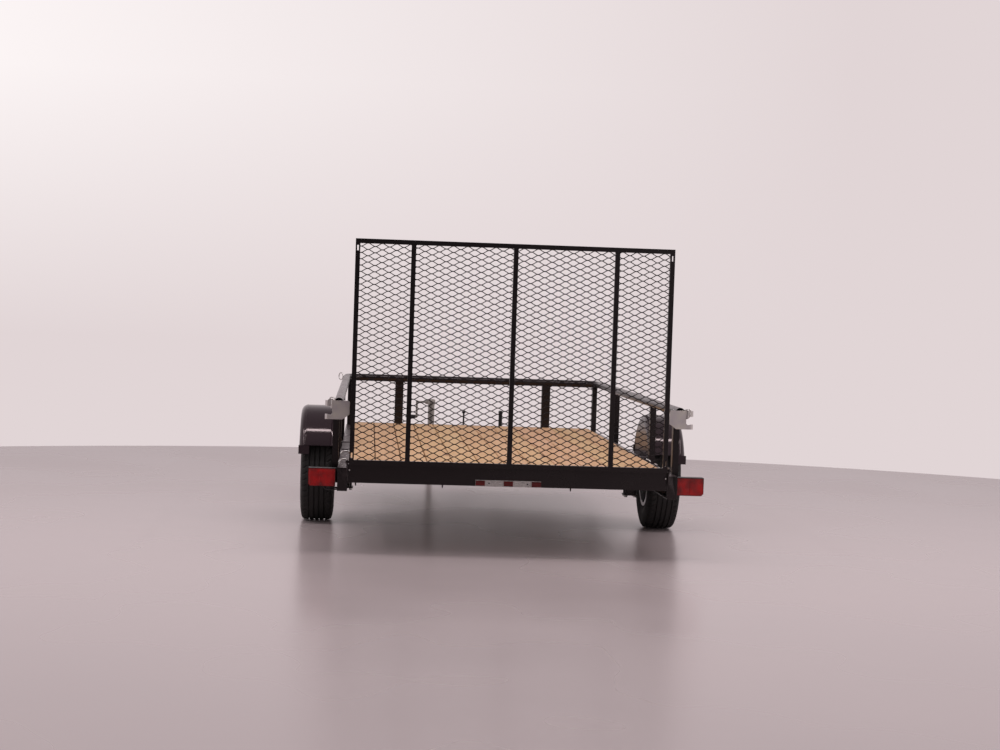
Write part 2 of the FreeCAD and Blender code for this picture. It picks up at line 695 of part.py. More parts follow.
def strands(rising, low_y):
    """One family of slanting mesh strands, trimmed to the gate."""
    edge = S.gate_tube.mm - S.mesh_lap.mm
    half = gate_half.mm - edge
    low, high = gate_low.mm + edge, gate_top.mm - edge
    slope = S.mesh_short.mm / S.mesh_long.mm * rising
    reach = S.strand_width.mm / 2 * math.hypot(1, slope)
    panel = Part.makeBox(2 * half, S.strand_thick.mm, high - low,
                         FreeCAD.Vector(-half, low_y, low))
    pieces = []
    least = S.strand_width.mm * S.strand_thick.mm * S.mesh_long.mm
    level = low - half * abs(slope) - S.mesh_short.mm
    while level < high + half * abs(slope):
        level += S.mesh_short.mm
        ends = [(x, level + x * slope) for x in (-half, half)]
        corners = [FreeCAD.Vector(x, low_y, z + side * reach)
                   for (x, z), side in ((ends[0], -1), (ends[1], -1), (ends[1], 1), (ends[0], 1))]
        face = Part.Face(Part.makePolygon(corners + corners[:1]))
        bar = face.extrude(FreeCAD.Vector(0, S.strand_thick.mm, 0)).common(panel)
        pieces += [solid for solid in bar.Solids if solid.Volume > least]
    return pieces


mesh_y = -S.hinge_y.mm + S.gate_tube.mm / 2
node("gate_mesh", keep("mesh", Part.makeCompound(
    strands(1, mesh_y) + strands(-1, mesh_y + S.strand_thick.mm))))

# Fenders: one sheet with round shoulders, turned about the axle, with raised ends, and a
# flat inner panel
fender_inner = S.frame_half + S.fender_gap
fender_outer = fender_inner + S.fender_width
half_turn = 90 - S.fender_cut.mm
DIAGONAL = 1 - math.sqrt(0.5)


def fender_skin(offset):
    """Cross-section of one face of the sheet: skirt, shoulder, crown, shoulder, skirt."""
    inner, outer = fender_inner.mm + offset, fender_outer.mm - offset
    crown, bow = S.fender_radius.mm - offset, S.fender_bow.mm - offset
    skirt, diagonal = S.fender_radius.mm - S.fender_depth.mm, bow * DIAGONAL
    return [
        (inner, skirt), (inner, crown - bow), (inner + diagonal, crown - diagonal, True),
        (inner + bow, crown), (outer - bow, crown),
        (outer - diagonal, crown - diagonal, True), (outer, crown - bow), (outer, skirt)]


def swept(face, start, turn):
    """Face turned about the axle, from a start angle behind the top."""
    face = face.copy()
    face.rotate(ORIGIN, X_AXIS, start)
    return face.revolve(ORIGIN, X_AXIS, turn)


sheet_face = section(fender_skin(0) + fender_skin(S.fender_wall.mm)[::-1])
lip_face = section(fender_skin(-S.fender_lip.mm)[3:] + fender_skin(0)[3:][::-1])
lip_turn = S.lip_turn.mm
fender = swept(sheet_face, -half_turn, 2 * half_turn)
# The panel between wheel and rail: an arc under the shoulder, closed by a straight lower edge
panel_radius = S.fender_radius.mm - S.fender_bow.mm
panel_y = panel_radius * math.sin(math.radians(half_turn))
panel_z = panel_radius * math.cos(math.radians(half_turn))
panel_low = (rail_top - S.panel_drop - wheel_z).mm
panel = section([(-panel_y, panel_z), (0, panel_radius, True), (panel_y, panel_z),
                 (panel_y, panel_low), (-panel_y, panel_low)], Y_AXIS)
panel.translate(X_AXIS * fender_inner.mm)
fender = fender.fuse([swept(lip_face, -half_turn, lip_turn),
                      swept(lip_face, half_turn - lip_turn, lip_turn),
                      panel.extrude(X_AXIS * S.fender_wall.mm)])
# The foot hangs from the rear outer corner
end_y = -S.fender_radius.mm * math.sin(math.radians(half_turn))
end_z = S.fender_radius.mm * math.cos(math.radians(half_turn))
foot = Part.makeBox(
    S.foot_width.mm, S.foot_depth.mm, S.foot_drop.mm,
    FreeCAD.Vector(fender_outer.mm - S.foot_width.mm + S.fender_lip.mm, end_y - S.fender_lip.mm,
                   end_z - S.foot_drop.mm))
fender = fender.fuse(foot)
pair("fender", keep("fender_sheet", fender, FreeCAD.Placement(
    FreeCAD.Vector(0, S.axle_y.mm, wheel_z.mm), FreeCAD.Rotation())))

brackets = []
bracket_y = S.fender_radius - S.bracket_back
for side in (-1, 1):
    middle = S.axle_y + bracket_y * side
    wide = (middle - S.bracket_width / 2, middle + S.bracket_width / 2)
    brackets.append(fuse(
        block((S.frame_half - S.bracket_lap, fender_inner), wide,
              (rail_top, rail_top + S.bracket_thick)),
        block((fender_inner - S.bracket_thick, fender_inner), wide,
              (rail_top, rail_top + S.bracket_rise))))
pair("fender_brackets", gather(*brackets))

# Axle: tube, drop legs with round ends, spindles
leg_start = S.frame_half + S.leg_gap
leg_end = leg_start + S.leg_thick
spindle_end = wheel_x + S.cap_length / 2
beam = [rod("x", (-leg_end, S.axle_y, beam_z), leg_end * 2, S.beam_radius)]
for start, tip in ((leg_start, leg_end), (-leg_end, -spindle_end)):
    beam.append(block((start, start + S.leg_thick),
                      (S.axle_y - S.beam_radius, S.axle_y + S.beam_radius), (beam_z, wheel_z)))
    beam.append(rod("x", (start, S.axle_y, wheel_z), S.leg_thick, S.beam_radius))
    beam.append(rod("x", (tip, S.axle_y, wheel_z), spindle_end - leg_end, S.spindle_radius))
node("axle_beam", fuse(*beam))

# Springs: bowed leaves about one centre, rolled eyes, saddle, clamp plates and U-bolts
spring_x = S.frame_half - S.spring_in
leaf_x = (spring_x - S.spring_width / 2, spring_x + S.spring_width / 2)
eye_z = leaf_top + S.spring_bow - S.eye_radius
LEAF_SHARES = (0.42, 0.7, 1.0)
bow_radius = (S.spring_half.mm ** 2 + S.spring_bow.mm ** 2) / (2 * S.spring_bow.mm)


def leaf(step, share):
    """One leaf: a slice of a ring about the centre of the bow, share of the main leaf long."""
    centre = leaf_low.mm + bow_radius
    outer = bow_radius - step * S.leaf_thick.mm
    inner = outer - S.leaf_thick.mm
    reach = math.asin(S.spring_half.mm * share / bow_radius)

    def spot(radius, angle, *mark):
        return (radius * math.sin(angle), centre - radius * math.cos(angle)) + mark

    face = section([spot(outer, -reach), spot(outer, 0, True), spot(outer, reach),
                    spot(inner, reach), spot(inner, 0, True), spot(inner, -reach)], Y_AXIS)
    solid = face.extrude(X_AXIS * S.spring_width.mm)
    return keep("leaf", solid, FreeCAD.Placement(
        FreeCAD.Vector(leaf_x[0].mm, S.axle_y.mm, 0), FreeCAD.Rotation()))


leaves = [leaf(step, share) for step, share in enumerate(LEAF_SHARES)]
eye_spots = [S.axle_y + S.spring_half * side for side in (-1, 1)]
eyes = [rod("x", (leaf_x[0], y, eye_z), S.spring_width, S.eye_radius) for y in eye_spots]
eye_bores = [rod("x", (leaf_x[0] - PAST, y, eye_z), S.spring_width + 2 * PAST,
                 S.bolt_radius + S.bolt_play) for y in eye_spots]
plate_top = beam_z - S.beam_radius - S.saddle_depth
pad_half = S.beam_radius + S.pad_wall
saddle = cut(
    block(leaf_x, (S.axle_y - pad_half, S.axle_y + pad_half), (plate_top, leaf_low + PAST)),
    rod("x", (leaf_x[0] - PAST, S.axle_y, beam_z), S.spring_width + 2 * PAST, S.beam_radius))
plate_x = (leaf_x[0] - S.clamp_lap, leaf_x[1] + S.clamp_lap)
clamps = [block(plate_x, (S.axle_y - S.clamp_half, S.axle_y + S.clamp_half),
                (plate_top - S.clamp_thick, plate_top))]
for side in (-1, 1):
    row_y = S.axle_y + S.u_bolt_y * side
    bridge = (leaf_x[0] - S.u_bolt_gap - S.u_bolt, leaf_x[1] + S.u_bolt_gap + S.u_bolt)
    clamps.append(block(bridge, (row_y - S.u_bolt, row_y + S.u_bolt),
                        (leaf_top, leaf_top + S.clamp_thick)))
    for edge in (leaf_x[0] - S.u_bolt_gap, leaf_x[1] + S.u_bolt_gap):
        clamps.append(rod("z", (edge, row_y, plate_top - S.clamp_thick * 2),
                          leaf_top + PAST - plate_top + S.clamp_thick * 2, S.u_bolt))
pair("leaf_spring", cut(fuse(*(leaves + eyes + [saddle] + clamps)), *eye_bores))

hangers = []
strap_x = (leaf_x[0] - S.strap_gap - S.strap_thick, leaf_x[1] + S.strap_gap + S.strap_thick)
for middle in eye_spots:
    wide = (middle - S.strap_half, middle + S.strap_half)
    sides = (eye_z - S.strap_drop, rail_bottom)
    hangers.append(fuse(
        block(strap_x, wide, (rail_bottom - S.strap_thick / 2, rail_bottom)),
        block((strap_x[0], strap_x[0] + S.strap_thick), wide, sides),
        block((strap_x[1] - S.strap_thick, strap_x[1]), wide, sides),
        rod("x", (strap_x[0] - S.strap_thick, middle, eye_z),
            strap_x[1] - strap_x[0] + S.strap_thick * 2, S.bolt_radius)))
pair("spring_hangers", gather(*hangers))

# Tongue: two rails that meet at the coupler
lean = math.radians(S.tongue_angle.mm)
tongue_run = tongue_tip_y - tongue_back_y
tongue_length = tongue_run.mm / math.cos(lean)


def tongue_shape():
    """Channel open to the outside, ends cut square to the trailer."""
    half, wall = S.tongue_width.mm / 2, S.tongue_wall.mm
    low, high = tongue_low.mm, tongue_top.mm
    skew = half * math.tan(lean)
    profile = Part.makePolygon([
        FreeCAD.Vector(x, -2 * skew, z) for x, z in (
            (half, low), (half, low + wall), (-half + wall, low + wall),
            (-half + wall, high - wall), (half, high - wall), (half, high),
            (-half, high), (-half, low), (half, low))])
    bar = Part.Face(profile).extrude(Y_AXIS * (tongue_length + 4 * skew))
    spread = S.tongue_tip_x.mm + tongue_run.mm * math.tan(lean)
    bar.Placement = FreeCAD.Placement(FreeCAD.Vector(spread, tongue_back_y.mm, 0),
                                      FreeCAD.Rotation(Z_AXIS, S.tongue_angle.mm))
    between = Part.makeBox(2 * S.frame_half.mm, tongue_run.mm, 2 * high,
                           FreeCAD.Vector(S.seat_gap.mm, tongue_back_y.mm, 0))
    return bar.common(between)


pair("tongue", keep("tongue_bar", tongue_shape()))

# Coupler: top plate over both rails, tapered nose, round socket for the ball, latch lever
plate_low = tongue_top + S.seat_gap
plate_back = tongue_tip_y - S.plate_length
plate_wide = S.tongue_tip_x + S.plate_length * math.tan(lean)
plate_tip = S.tongue_tip_x + S.plate_margin
top_plate = pad("XY_Plane", [
    (plate_wide, plate_back), (plate_tip, tongue_tip_y), (S.nose_half, ball_y),
    (-S.nose_half, ball_y), (-plate_tip, tongue_tip_y), (-plate_wide, plate_back)],
    S.socket_wall, (0, 0, plate_low))
socket_radius = S.ball_radius + S.socket_wall
socket_low = tongue_top - S.socket_drop
dome_z = socket_low + S.socket_straight


def nose_ring(y, half, low, high):
    """Rectangle across the trailer."""
    return Part.makePolygon([FreeCAD.Vector(x, y, z) for x, z in (
        (-half, low), (half, low), (half, high), (-half, high), (-half, low))])


nose = Part.makeLoft([
    nose_ring(tongue_tip_y.mm + S.seat_gap.mm, plate_tip.mm, socket_low.mm - S.socket_wall.mm,
              plate_low.mm + S.socket_wall.mm),
    nose_ring(ball_y.mm, S.nose_half.mm - S.socket_wall.mm / 2, socket_low.mm,
              socket_low.mm + S.socket_straight.mm + S.nose_rise.mm)], True, True)
lever_y = ball_y - S.lever_back
lever_top = plate_low + S.lever_rise
blade = S.lever_foot / 2
lever = pad("YZ_Plane", [
    (lever_y - blade, plate_low), (lever_y + blade, plate_low),
    (lever_y + blade * 0.8, plate_low + S.lever_rise * 0.4),
    (lever_y + S.handle_radius, lever_top), (lever_y - S.handle_radius, lever_top),
    (lever_y - blade * 0.8, plate_low + S.lever_rise * 0.4)],
    S.lever_half * 2, (-S.lever_half, 0, 0))
node("coupler", cut(
    fuse(top_plate, keep("nose", nose),
         rod("z", (0, ball_y, socket_low), S.socket_straight, socket_radius),
         ball((0, ball_y, dome_z), socket_radius), lever,
         rod("x", (-S.handle_half, lever_y, lever_top), S.handle_half * 2, S.handle_radius)),
    rod("z", (0, ball_y, socket_low - S.socket_straight * 2), S.socket_straight * 3,
        S.ball_radius),
    ball((0, ball_y, dome_z), S.ball_radius)))

# Jack, swung on a stub on the left tongue rail
pivot_z = tongue_top - S.tongue_height / 2
jack_y = tongue_tip_y - S.jack_back
pivot_x = S.tongue_tip_x.mm + S.jack_back.mm * math.tan(lean)
pivot_spot = FreeCAD.Placement(FreeCAD.Vector(-pivot_x, jack_y.mm, 0),
                               FreeCAD.Rotation(Z_AXIS, -S.tongue_angle.mm))
jack_top = (pivot_z + S.jack_above).mm
jack_low = (pivot_z - S.jack_below).mm


def beside_tongue(label, shape):
    """Keep a shape drawn square to the left tongue rail, X inboard and Y forward."""
    return node(label, keep(label, shape, pivot_spot))


def bar_x(start, end, y, z, radius):
    """Round bar along X."""
    return Part.makeCylinder(radius, end - start, FreeCAD.Vector(start, y, z), X_AXIS)


def bar_z(x, low, high, radius):
    """Round bar along Z."""
    return Part.makeCylinder(radius, high - low, FreeCAD.Vector(x, 0, low))


rail_face = -S.tongue_width.mm / 2
jack_x = -S.jack_offset.mm
mount_end = rail_face - S.mount_thick.mm
pivot_end = mount_end - S.pivot_length.mm
stub = bar_x(pivot_end, mount_end, 0, pivot_z.mm, S.pivot_radius.mm)
mount_plate = Part.makeBox(S.mount_thick.mm, 2 * S.mount_half.mm, S.tongue_height.mm,
                           FreeCAD.Vector(mount_end, -S.mount_half.mm, tongue_low.mm))
beside_tongue("jack_mount", mount_plate.fuse(stub))

tube_inner = S.jack_radius.mm - S.jack_wall.mm
sleeve = bar_x(jack_x, mount_end - S.swivel_gap.mm, 0, pivot_z.mm,
               S.pivot_radius.mm + S.sleeve_wall.mm)
sleeve_bore = bar_x(pivot_end - S.leg_play.mm, mount_end, 0, pivot_z.mm,
                    S.pivot_radius.mm + S.pin_play.mm)
tube = bar_z(jack_x, jack_low, jack_top, S.jack_radius.mm)
cap_radius, cap_low = S.jack_radius.mm + S.cap_side.mm, S.cap_above.mm - S.cap_height.mm
cap = section([(0, cap_low), (cap_radius, cap_low), (cap_radius, 0),
               (cap_radius * 0.85, S.cap_above.mm * 0.7, True), (cap_radius * 0.5, S.cap_above.mm),
               (0, S.cap_above.mm)]).revolve(ORIGIN, Z_AXIS, 360)
cap.translate(FreeCAD.Vector(jack_x, 0, jack_top))
crank_z = jack_top + cap_low / 2
gear_end = jack_x - S.jack_radius.mm - S.gear_length.mm
gear = bar_x(gear_end, jack_x, 0, crank_z, S.gear_radius.mm)
tube_hole = bar_z(jack_x, jack_low - PAST, jack_top + cap_low - S.cap_wall.mm, tube_inner)
beside_tongue("jack_tube", tube.fuse([cap, sleeve, gear]).cut(sleeve_bore).cut(tube_hole))

leg = bar_z(jack_x, S.jack_foot_thick.mm, jack_top - S.leg_in.mm, tube_inner - S.leg_play.mm)


def foot_ring(half, z):
    """Square about the jack axis."""
    corners = ((-1, -1), (1, -1), (1, 1), (-1, 1), (-1, -1))
    return Part.makePolygon([FreeCAD.Vector(jack_x + x * half, y * half, z) for x, y in corners])


foot_top = S.jack_foot.mm - 2 * S.jack_foot_thick.mm
sole = Part.makeLoft([foot_ring(S.jack_foot.mm, 0), foot_ring(foot_top, S.jack_foot_thick.mm)],
                     True, True)
beside_tongue("jack_leg", leg.fuse(sole))

arm_x = jack_x - S.jack_radius.mm - S.crank_reach.mm
grip_z = crank_z - S.crank_drop.mm
arm_half, thick = S.grip_radius.mm, S.crank_thick.mm
shaft = bar_x(arm_x, gear_end, 0, crank_z, S.crank_radius.mm)
arm = Part.makeBox(thick, 2 * arm_half, S.crank_drop.mm, FreeCAD.Vector(arm_x, -arm_half, grip_z))
arm_ends = [bar_x(arm_x, arm_x + thick, 0, z, arm_half) for z in (crank_z, grip_z)]
grip = bar_x(arm_x - S.grip_length.mm, arm_x, 0, grip_z, S.grip_radius.mm)
beside_tongue("jack_crank", shaft.fuse([arm, grip] + arm_ends))

# Plug holder on the right tongue rail
holder_y = tongue_tip_y.mm - S.holder_back.mm
holder_x = S.tongue_tip_x.mm + S.holder_back.mm * math.tan(lean)
strip = Part.makeBox(S.holder_width.mm, S.holder_thick.mm, S.holder_height.mm,
                     FreeCAD.Vector(-S.holder_width.mm / 2, 0, tongue_top.mm + S.seat_gap.mm))
plug_z = tongue_top.mm + S.holder_height.mm - S.plug_radius.mm
plug = Part.makeCylinder(S.plug_radius.mm, S.plug_length.mm,
                         FreeCAD.Vector(0, -S.plug_length.mm / 2, plug_z), Y_AXIS)
node("plug_holder", keep("plug_holder", strip.fuse(plug), FreeCAD.Placement(
    FreeCAD.Vector(holder_x, holder_y, 0), FreeCAD.Rotation())))

# Wheels: tyre, rim and hub turned about the spindle


def turned(points):
    """Solid turned about the X axis from a section of (x, radius) corners."""
    return section(points).revolve(ORIGIN, X_AXIS, 360)


# Tyre section: share of the half width, share from bead to tread, mark for an arc's middle
TYRE_OUTSIDE = ((1.0, 0.48, True), (0.93, 0.83), (0.87, 0.95), (0.76, 0.985))
TYRE_INSIDE = ((0.84, 0.46), (0.60, 0.88))
bead_radius = S.rim_radius.mm + S.seat_gap.mm
bead_out = S.rim_half.mm - S.seat_gap.mm
bead_in = bead_out - S.seat_width.mm


def tyre_side(start, table, sign):
    """One side of the tyre section, from its bead between the rim flanges."""
    height = S.tyre_radius.mm - bead_radius
    rows = [(S.tyre_half.mm * row[0], bead_radius + height * row[1]) + row[2:] for row in table]
    return [(sign * row[0],) + row[1:] for row in start + rows]


outside = [(bead_out, bead_radius), (bead_out, S.flange_radius.mm + S.seat_gap.mm)]
inside = [(bead_in, bead_radius)]
tyre_shape = turned(
    tyre_side(outside, TYRE_OUTSIDE, 1) + [(0, S.tyre_radius.mm, True)]
    + tyre_side(outside, TYRE_OUTSIDE, -1)[::-1]
    + tyre_side(inside, TYRE_INSIDE, -1) + tyre_side(inside, TYRE_INSIDE, 1)[::-1])

# Rim: barrel with a well between the bead seats, and a dished disc with vents
wall = S.rim_wall.mm
rim_end = S.rim_half.mm + wall
seat_in = S.rim_half.mm - S.seat_width.mm


def barrel(sign):
    """Outer face of the barrel from flange to well."""
    return [(sign * rim_end, S.flange_radius.mm), (sign * S.rim_half.mm, S.flange_radius.mm),
            (sign * S.rim_half.mm, S.rim_radius.mm), (sign * seat_in, S.rim_radius.mm),
            (sign * S.well_half.mm, S.well_radius.mm)]


def lining(sign):
    """Inner face of the barrel from well to flange."""
    return [(sign * (S.well_half.mm + wall / 2), S.well_radius.mm - wall),
            (sign * (seat_in + wall / 2), S.rim_radius.mm - wall),
            (sign * rim_end, S.rim_radius.mm - wall)]


rim_shape = turned(barrel(1) + barrel(-1)[::-1] + lining(-1)[::-1] + lining(1))
disc_end = S.well_radius.mm - wall / 2
land_half = S.vent_radius.mm + S.vent_land.mm
land_in, land_out = S.vent_circle.mm - land_half, S.vent_circle.mm + land_half
disc = turned([
    (0, S.centre_hole.mm), (wall, S.centre_hole.mm), (wall, S.disc_face.mm),
    (wall + S.disc_dish.mm, land_in), (wall + S.disc_dish.mm, land_out), (wall, disc_end),
    (0, disc_end), (S.disc_dish.mm, land_out), (S.disc_dish.mm, land_in), (0, S.disc_face.mm)])
rim_shape = rim_shape.fuse(disc)

hub_back = -S.hub_length.mm
spindle_bore = S.spindle_radius.mm + S.pin_play.mm
cap_end = S.cap_length.mm
hub_shape = turned([
    (hub_back, spindle_bore), (hub_back, S.hub_radius.mm), (-S.hub_plate.mm, S.hub_radius.mm),
    (-S.hub_plate.mm, S.hub_flange.mm), (0, S.hub_flange.mm), (0, S.cap_radius.mm),
    (cap_end - S.cap_dome.mm, S.cap_radius.mm),
    (cap_end - S.cap_dome.mm * DIAGONAL, S.cap_radius.mm - S.cap_dome.mm * DIAGONAL, True),
    (cap_end, S.cap_radius.mm - S.cap_dome.mm), (cap_end, 0),
    (cap_end - S.cap_wall.mm, 0), (cap_end - S.cap_wall.mm, spindle_bore)])


def nut(y, z):
    """Six-sided nut on the outer face of the disc."""
    corners = [FreeCAD.Vector(wall, y + S.nut_radius.mm * math.cos(math.radians(60 * step)),
                              z + S.nut_radius.mm * math.sin(math.radians(60 * step)))
               for step in range(6)]
    return Part.Face(Part.makePolygon(corners + corners[:1])).extrude(X_AXIS * S.nut_length.mm)


def ring_of(count, radius):
    """Points (y, z) at equal angles on a circle, the first at the top."""
    turns = [math.radians(360 / count * index + 90) for index in range(int(count))]
    return [(radius * math.cos(turn), radius * math.sin(turn)) for turn in turns]


for y, z in ring_of(S.stud_count.mm, S.stud_circle.mm):
    rim_shape = rim_shape.cut(bar_x(-PAST, wall + PAST, y, z, S.stud_hole.mm))
    stud = bar_x(-PAST, wall + S.nut_length.mm, y, z, S.stud_radius.mm)
    hub_shape = hub_shape.fuse([stud, nut(y, z)])
for y, z in ring_of(S.vent_count.mm, S.vent_circle.mm):
    vent_depth = wall + S.disc_dish.mm + PAST
    rim_shape = rim_shape.cut(bar_x(-PAST, vent_depth, y, z, S.vent_radius.mm))

wheel_spot = FreeCAD.Placement(FreeCAD.Vector(wheel_x.mm, S.axle_y.mm, wheel_z.mm),
                               FreeCAD.Rotation())
for label, shape in (("tyre", tyre_shape), ("rim", rim_shape), ("hub", hub_shape)):
    pair(label, keep(label + "_form", shape, wheel_spot))

doc.recompute()
for obj in doc.Objects:
    if "Invalid" in obj.State or "Error" in obj.State:
        raise RuntimeError("%s did not build: %s" % (obj.Label, obj.State))
for obj in nodes:
    if obj.Shape.isNull() or not obj.Shape.isValid() or not obj.Shape.Solids:
        raise RuntimeError("%s has no valid solid" % obj.Label)
for obj in nodes:
    obj.Shape.exportStep("parts/%s.step" % obj.Label)
print("%d pieces written" % len(nodes))
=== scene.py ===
import json
import math

import bmesh
import bpy
import numpy as np
from mathutils import Matrix, Vector

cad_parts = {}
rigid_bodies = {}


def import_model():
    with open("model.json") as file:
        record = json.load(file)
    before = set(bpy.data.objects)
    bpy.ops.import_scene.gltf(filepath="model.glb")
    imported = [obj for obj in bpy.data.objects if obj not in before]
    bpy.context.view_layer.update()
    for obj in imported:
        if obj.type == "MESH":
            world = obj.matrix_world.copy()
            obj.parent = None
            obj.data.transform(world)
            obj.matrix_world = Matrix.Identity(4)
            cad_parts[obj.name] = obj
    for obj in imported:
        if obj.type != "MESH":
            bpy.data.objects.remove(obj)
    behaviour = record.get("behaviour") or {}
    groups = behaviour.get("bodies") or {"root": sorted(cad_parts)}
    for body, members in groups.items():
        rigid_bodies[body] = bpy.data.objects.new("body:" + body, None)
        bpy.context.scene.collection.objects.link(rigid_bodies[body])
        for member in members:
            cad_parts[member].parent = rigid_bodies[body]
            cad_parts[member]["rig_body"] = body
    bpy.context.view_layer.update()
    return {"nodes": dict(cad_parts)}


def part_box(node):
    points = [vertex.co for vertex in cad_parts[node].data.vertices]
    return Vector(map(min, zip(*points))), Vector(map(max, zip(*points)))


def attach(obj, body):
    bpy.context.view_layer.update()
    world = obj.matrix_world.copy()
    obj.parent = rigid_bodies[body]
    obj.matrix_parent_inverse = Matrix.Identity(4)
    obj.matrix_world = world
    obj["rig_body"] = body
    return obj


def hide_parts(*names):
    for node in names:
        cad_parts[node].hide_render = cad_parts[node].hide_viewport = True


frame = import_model()
MM = 0.001
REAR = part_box("rear_crossmember")[0].y
GROUND = 0.0


def box(name):
    """Lowest and highest corner of a CAD piece, in millimetres, with y counted from the frame's rear face."""
    low, high = (np.array(corner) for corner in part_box(name))
    shift = np.array([0.0, REAR, 0.0])
    return (low - shift) / MM, (high - shift) / MM


SIDES = ((1, "right"), (-1, "left"))
RAIL_TOP = box("fender_brackets_right")[0][2]
DECK_TOP = RAIL_TOP + 21
RAIL_IN, RAIL_OUT = (corner[0] for corner in box("side_rail_right"))
TUBE_Z = (box("top_rail_right")[0][2] + box("top_rail_right")[1][2]) / 2
WHEEL_X, WHEEL_Y = sum(box("tyre_right"))[:2] / 2
WHEEL_Z = box("tyre_right")[1][2] / 2
BED_LENGTH = 3658.0
BOARDS, BOARD_PITCH = 12, 143.6

# Materials


def linear(code):
    """Linear colour from an sRGB hex value."""
    parts = [int(code[i:i + 2], 16) / 255 for i in (1, 3, 5)]
    return tuple(p / 12.92 if p <= 0.04045 else ((p + 0.055) / 1.055) ** 2.4 for p in parts) + (1.0,)


def add(tree, kind, sockets=None, **settings):
    """Adds a shader node. Settings are its own values; sockets gives an input a value or a node's output."""
    made = tree.nodes.new("ShaderNode" + kind)
    for name, value in settings.items():
        setattr(made, name, value)
    for name, value in (sockets or {}).items():
        if isinstance(value, bpy.types.NodeSocket):
            tree.links.new(value, made.inputs[name])
        else:
            made.inputs[name].default_value = value
    return made


def blank(name):
    """New material with an empty tree, and its Object coordinates in metres."""
    material = bpy.data.materials.new(name)
    material.use_nodes = True
    tree = material.node_tree
    tree.nodes.clear()
    return material, tree, add(tree, "TexCoord").outputs["Object"]


def close(tree, sockets, bump=None, distance=0.0):
    """Ends a tree in one Principled shader, with a bump height if there is one."""
    if bump is not None:
        lift = add(tree, "Bump", {"Strength": 1.0, "Distance": distance, "Height": bump})
        sockets = dict(sockets, Normal=lift.outputs["Normal"])
    shader = add(tree, "BsdfPrincipled", sockets)
    add(tree, "OutputMaterial", {"Surface": shader.outputs["BSDF"]})


def noise(tree, place, size_mm, detail, rough, stretch=(1, 1, 1)):
    """Noise from 0 to 1 whose blotches are size_mm across, longer along an axis by its stretch."""
    scale = tuple(1000.0 / size_mm / s for s in stretch)
    spread = add(tree, "Mapping", {"Vector": place, "Scale": scale})
    made = add(tree, "TexNoise", {"Vector": spread.outputs["Vector"], "Scale": 1.0,
                                  "Detail": detail, "Roughness": rough})
    return made.outputs["Fac"]


def span(tree, value, low, high, out_low=0.0, out_high=1.0):
    """Carries a value from one span to another and holds it there."""
    return add(tree, "MapRange", {"Value": value, "From Min": low, "From Max": high,
                                  "To Min": out_low, "To Max": out_high}).outputs["Result"]


def mix(tree, share, first, second):
    """Mixes two colours by a share."""
    return add(tree, "Mix", {0: share, 6: first, 7: second}, data_type="RGBA").outputs[2]


def calculate(tree, kind, *values):
    """One step of arithmetic on values or outputs."""
    return add(tree, "Math", dict(enumerate(values)), operation=kind).outputs["Value"]


def powder_coat(name, base, dusty, shine):
    """Steel, powder-coated: sprayed dry and baked. Even black, a fine orange peel, a soft gloss and a little
    pale dust on level faces."""
    material, tree, place = blank(name)
    clouds = noise(tree, place, 260, 4, 0.6)
    specks = noise(tree, place, 9, 3, 0.6)
    face = add(tree, "SeparateXYZ", {"Vector": add(tree, "NewGeometry").outputs["Normal"]}).outputs
    lying = span(tree, face["Z"], 0.75, 1.0)
    film = calculate(tree, "MULTIPLY", lying, span(tree, clouds, 0.38, 0.7, 0.2, 0.45))
    film = calculate(tree, "MULTIPLY", film, span(tree, specks, 0.3, 0.75, 0.75, 1.0))
    colour = mix(tree, film, linear(base), linear(dusty))
    matt = calculate(tree, "ADD", span(tree, clouds, 0.3, 0.75, shine, shine * 1.4),
                     calculate(tree, "MULTIPLY", film, 0.12))
    # Upright faces along the trailer catch what the wheels throw up and are duller
    beside = calculate(tree, "ABSOLUTE", face["X"])
    matt = calculate(tree, "ADD", matt, span(tree, beside, 0.9, 1.0, 0.0, 0.16))
    # Orange peel is about 1 mm on the real coat; drawn at 4 mm so that it shows
    peel = noise(tree, place, 4, 1, 0.4)
    close(tree, {"Base Color": colour, "Roughness": matt, "IOR": 1.5, "Specular Tint": linear("#fff0f2")},
          peel, 0.00003)
    return material


def zinc_plate(name, base, cloud, matt):
    """Steel sheet, zinc electroplated: pale grey metal, clouded with faint yellow by its passivation."""
    material, tree, place = blank(name)
    large = noise(tree, place, 45, 3, 0.55)
    fine = noise(tree, place, 2.5, 2, 0.6)
    colour = mix(tree, span(tree, large, 0.35, 0.7), linear(base), linear(cloud))
    dull = calculate(tree, "ADD", span(tree, large, 0.3, 0.7, matt, matt + 0.12),
                     span(tree, fine, 0.3, 0.7, -0.03, 0.05))
    close(tree, {"Base Color": colour, "Metallic": 1.0, "Roughness": dull}, fine, 0.00003)
    return material


def galvanised(name):
    """Steel, hot-dip galvanised: grey with crystal spangle about 12 mm across."""
    material, tree, place = blank(name)
    spread = add(tree, "Mapping", {"Vector": place, "Scale": (85, 85, 85)}).outputs["Vector"]
    spangle = add(tree, "TexVoronoi", {"Vector": spread, "Scale": 1.0}).outputs["Color"]
    tone = add(tree, "SeparateColor", {"Color": spangle}).outputs["Red"]
    colour = mix(tree, tone, linear("#8b8782"), linear("#b0aca6"))
    close(tree, {"Base Color": colour, "Metallic": 1.0, "Roughness": span(tree, tone, 0, 1, 0.36, 0.55)},
          tone, 0.00004)
    return material


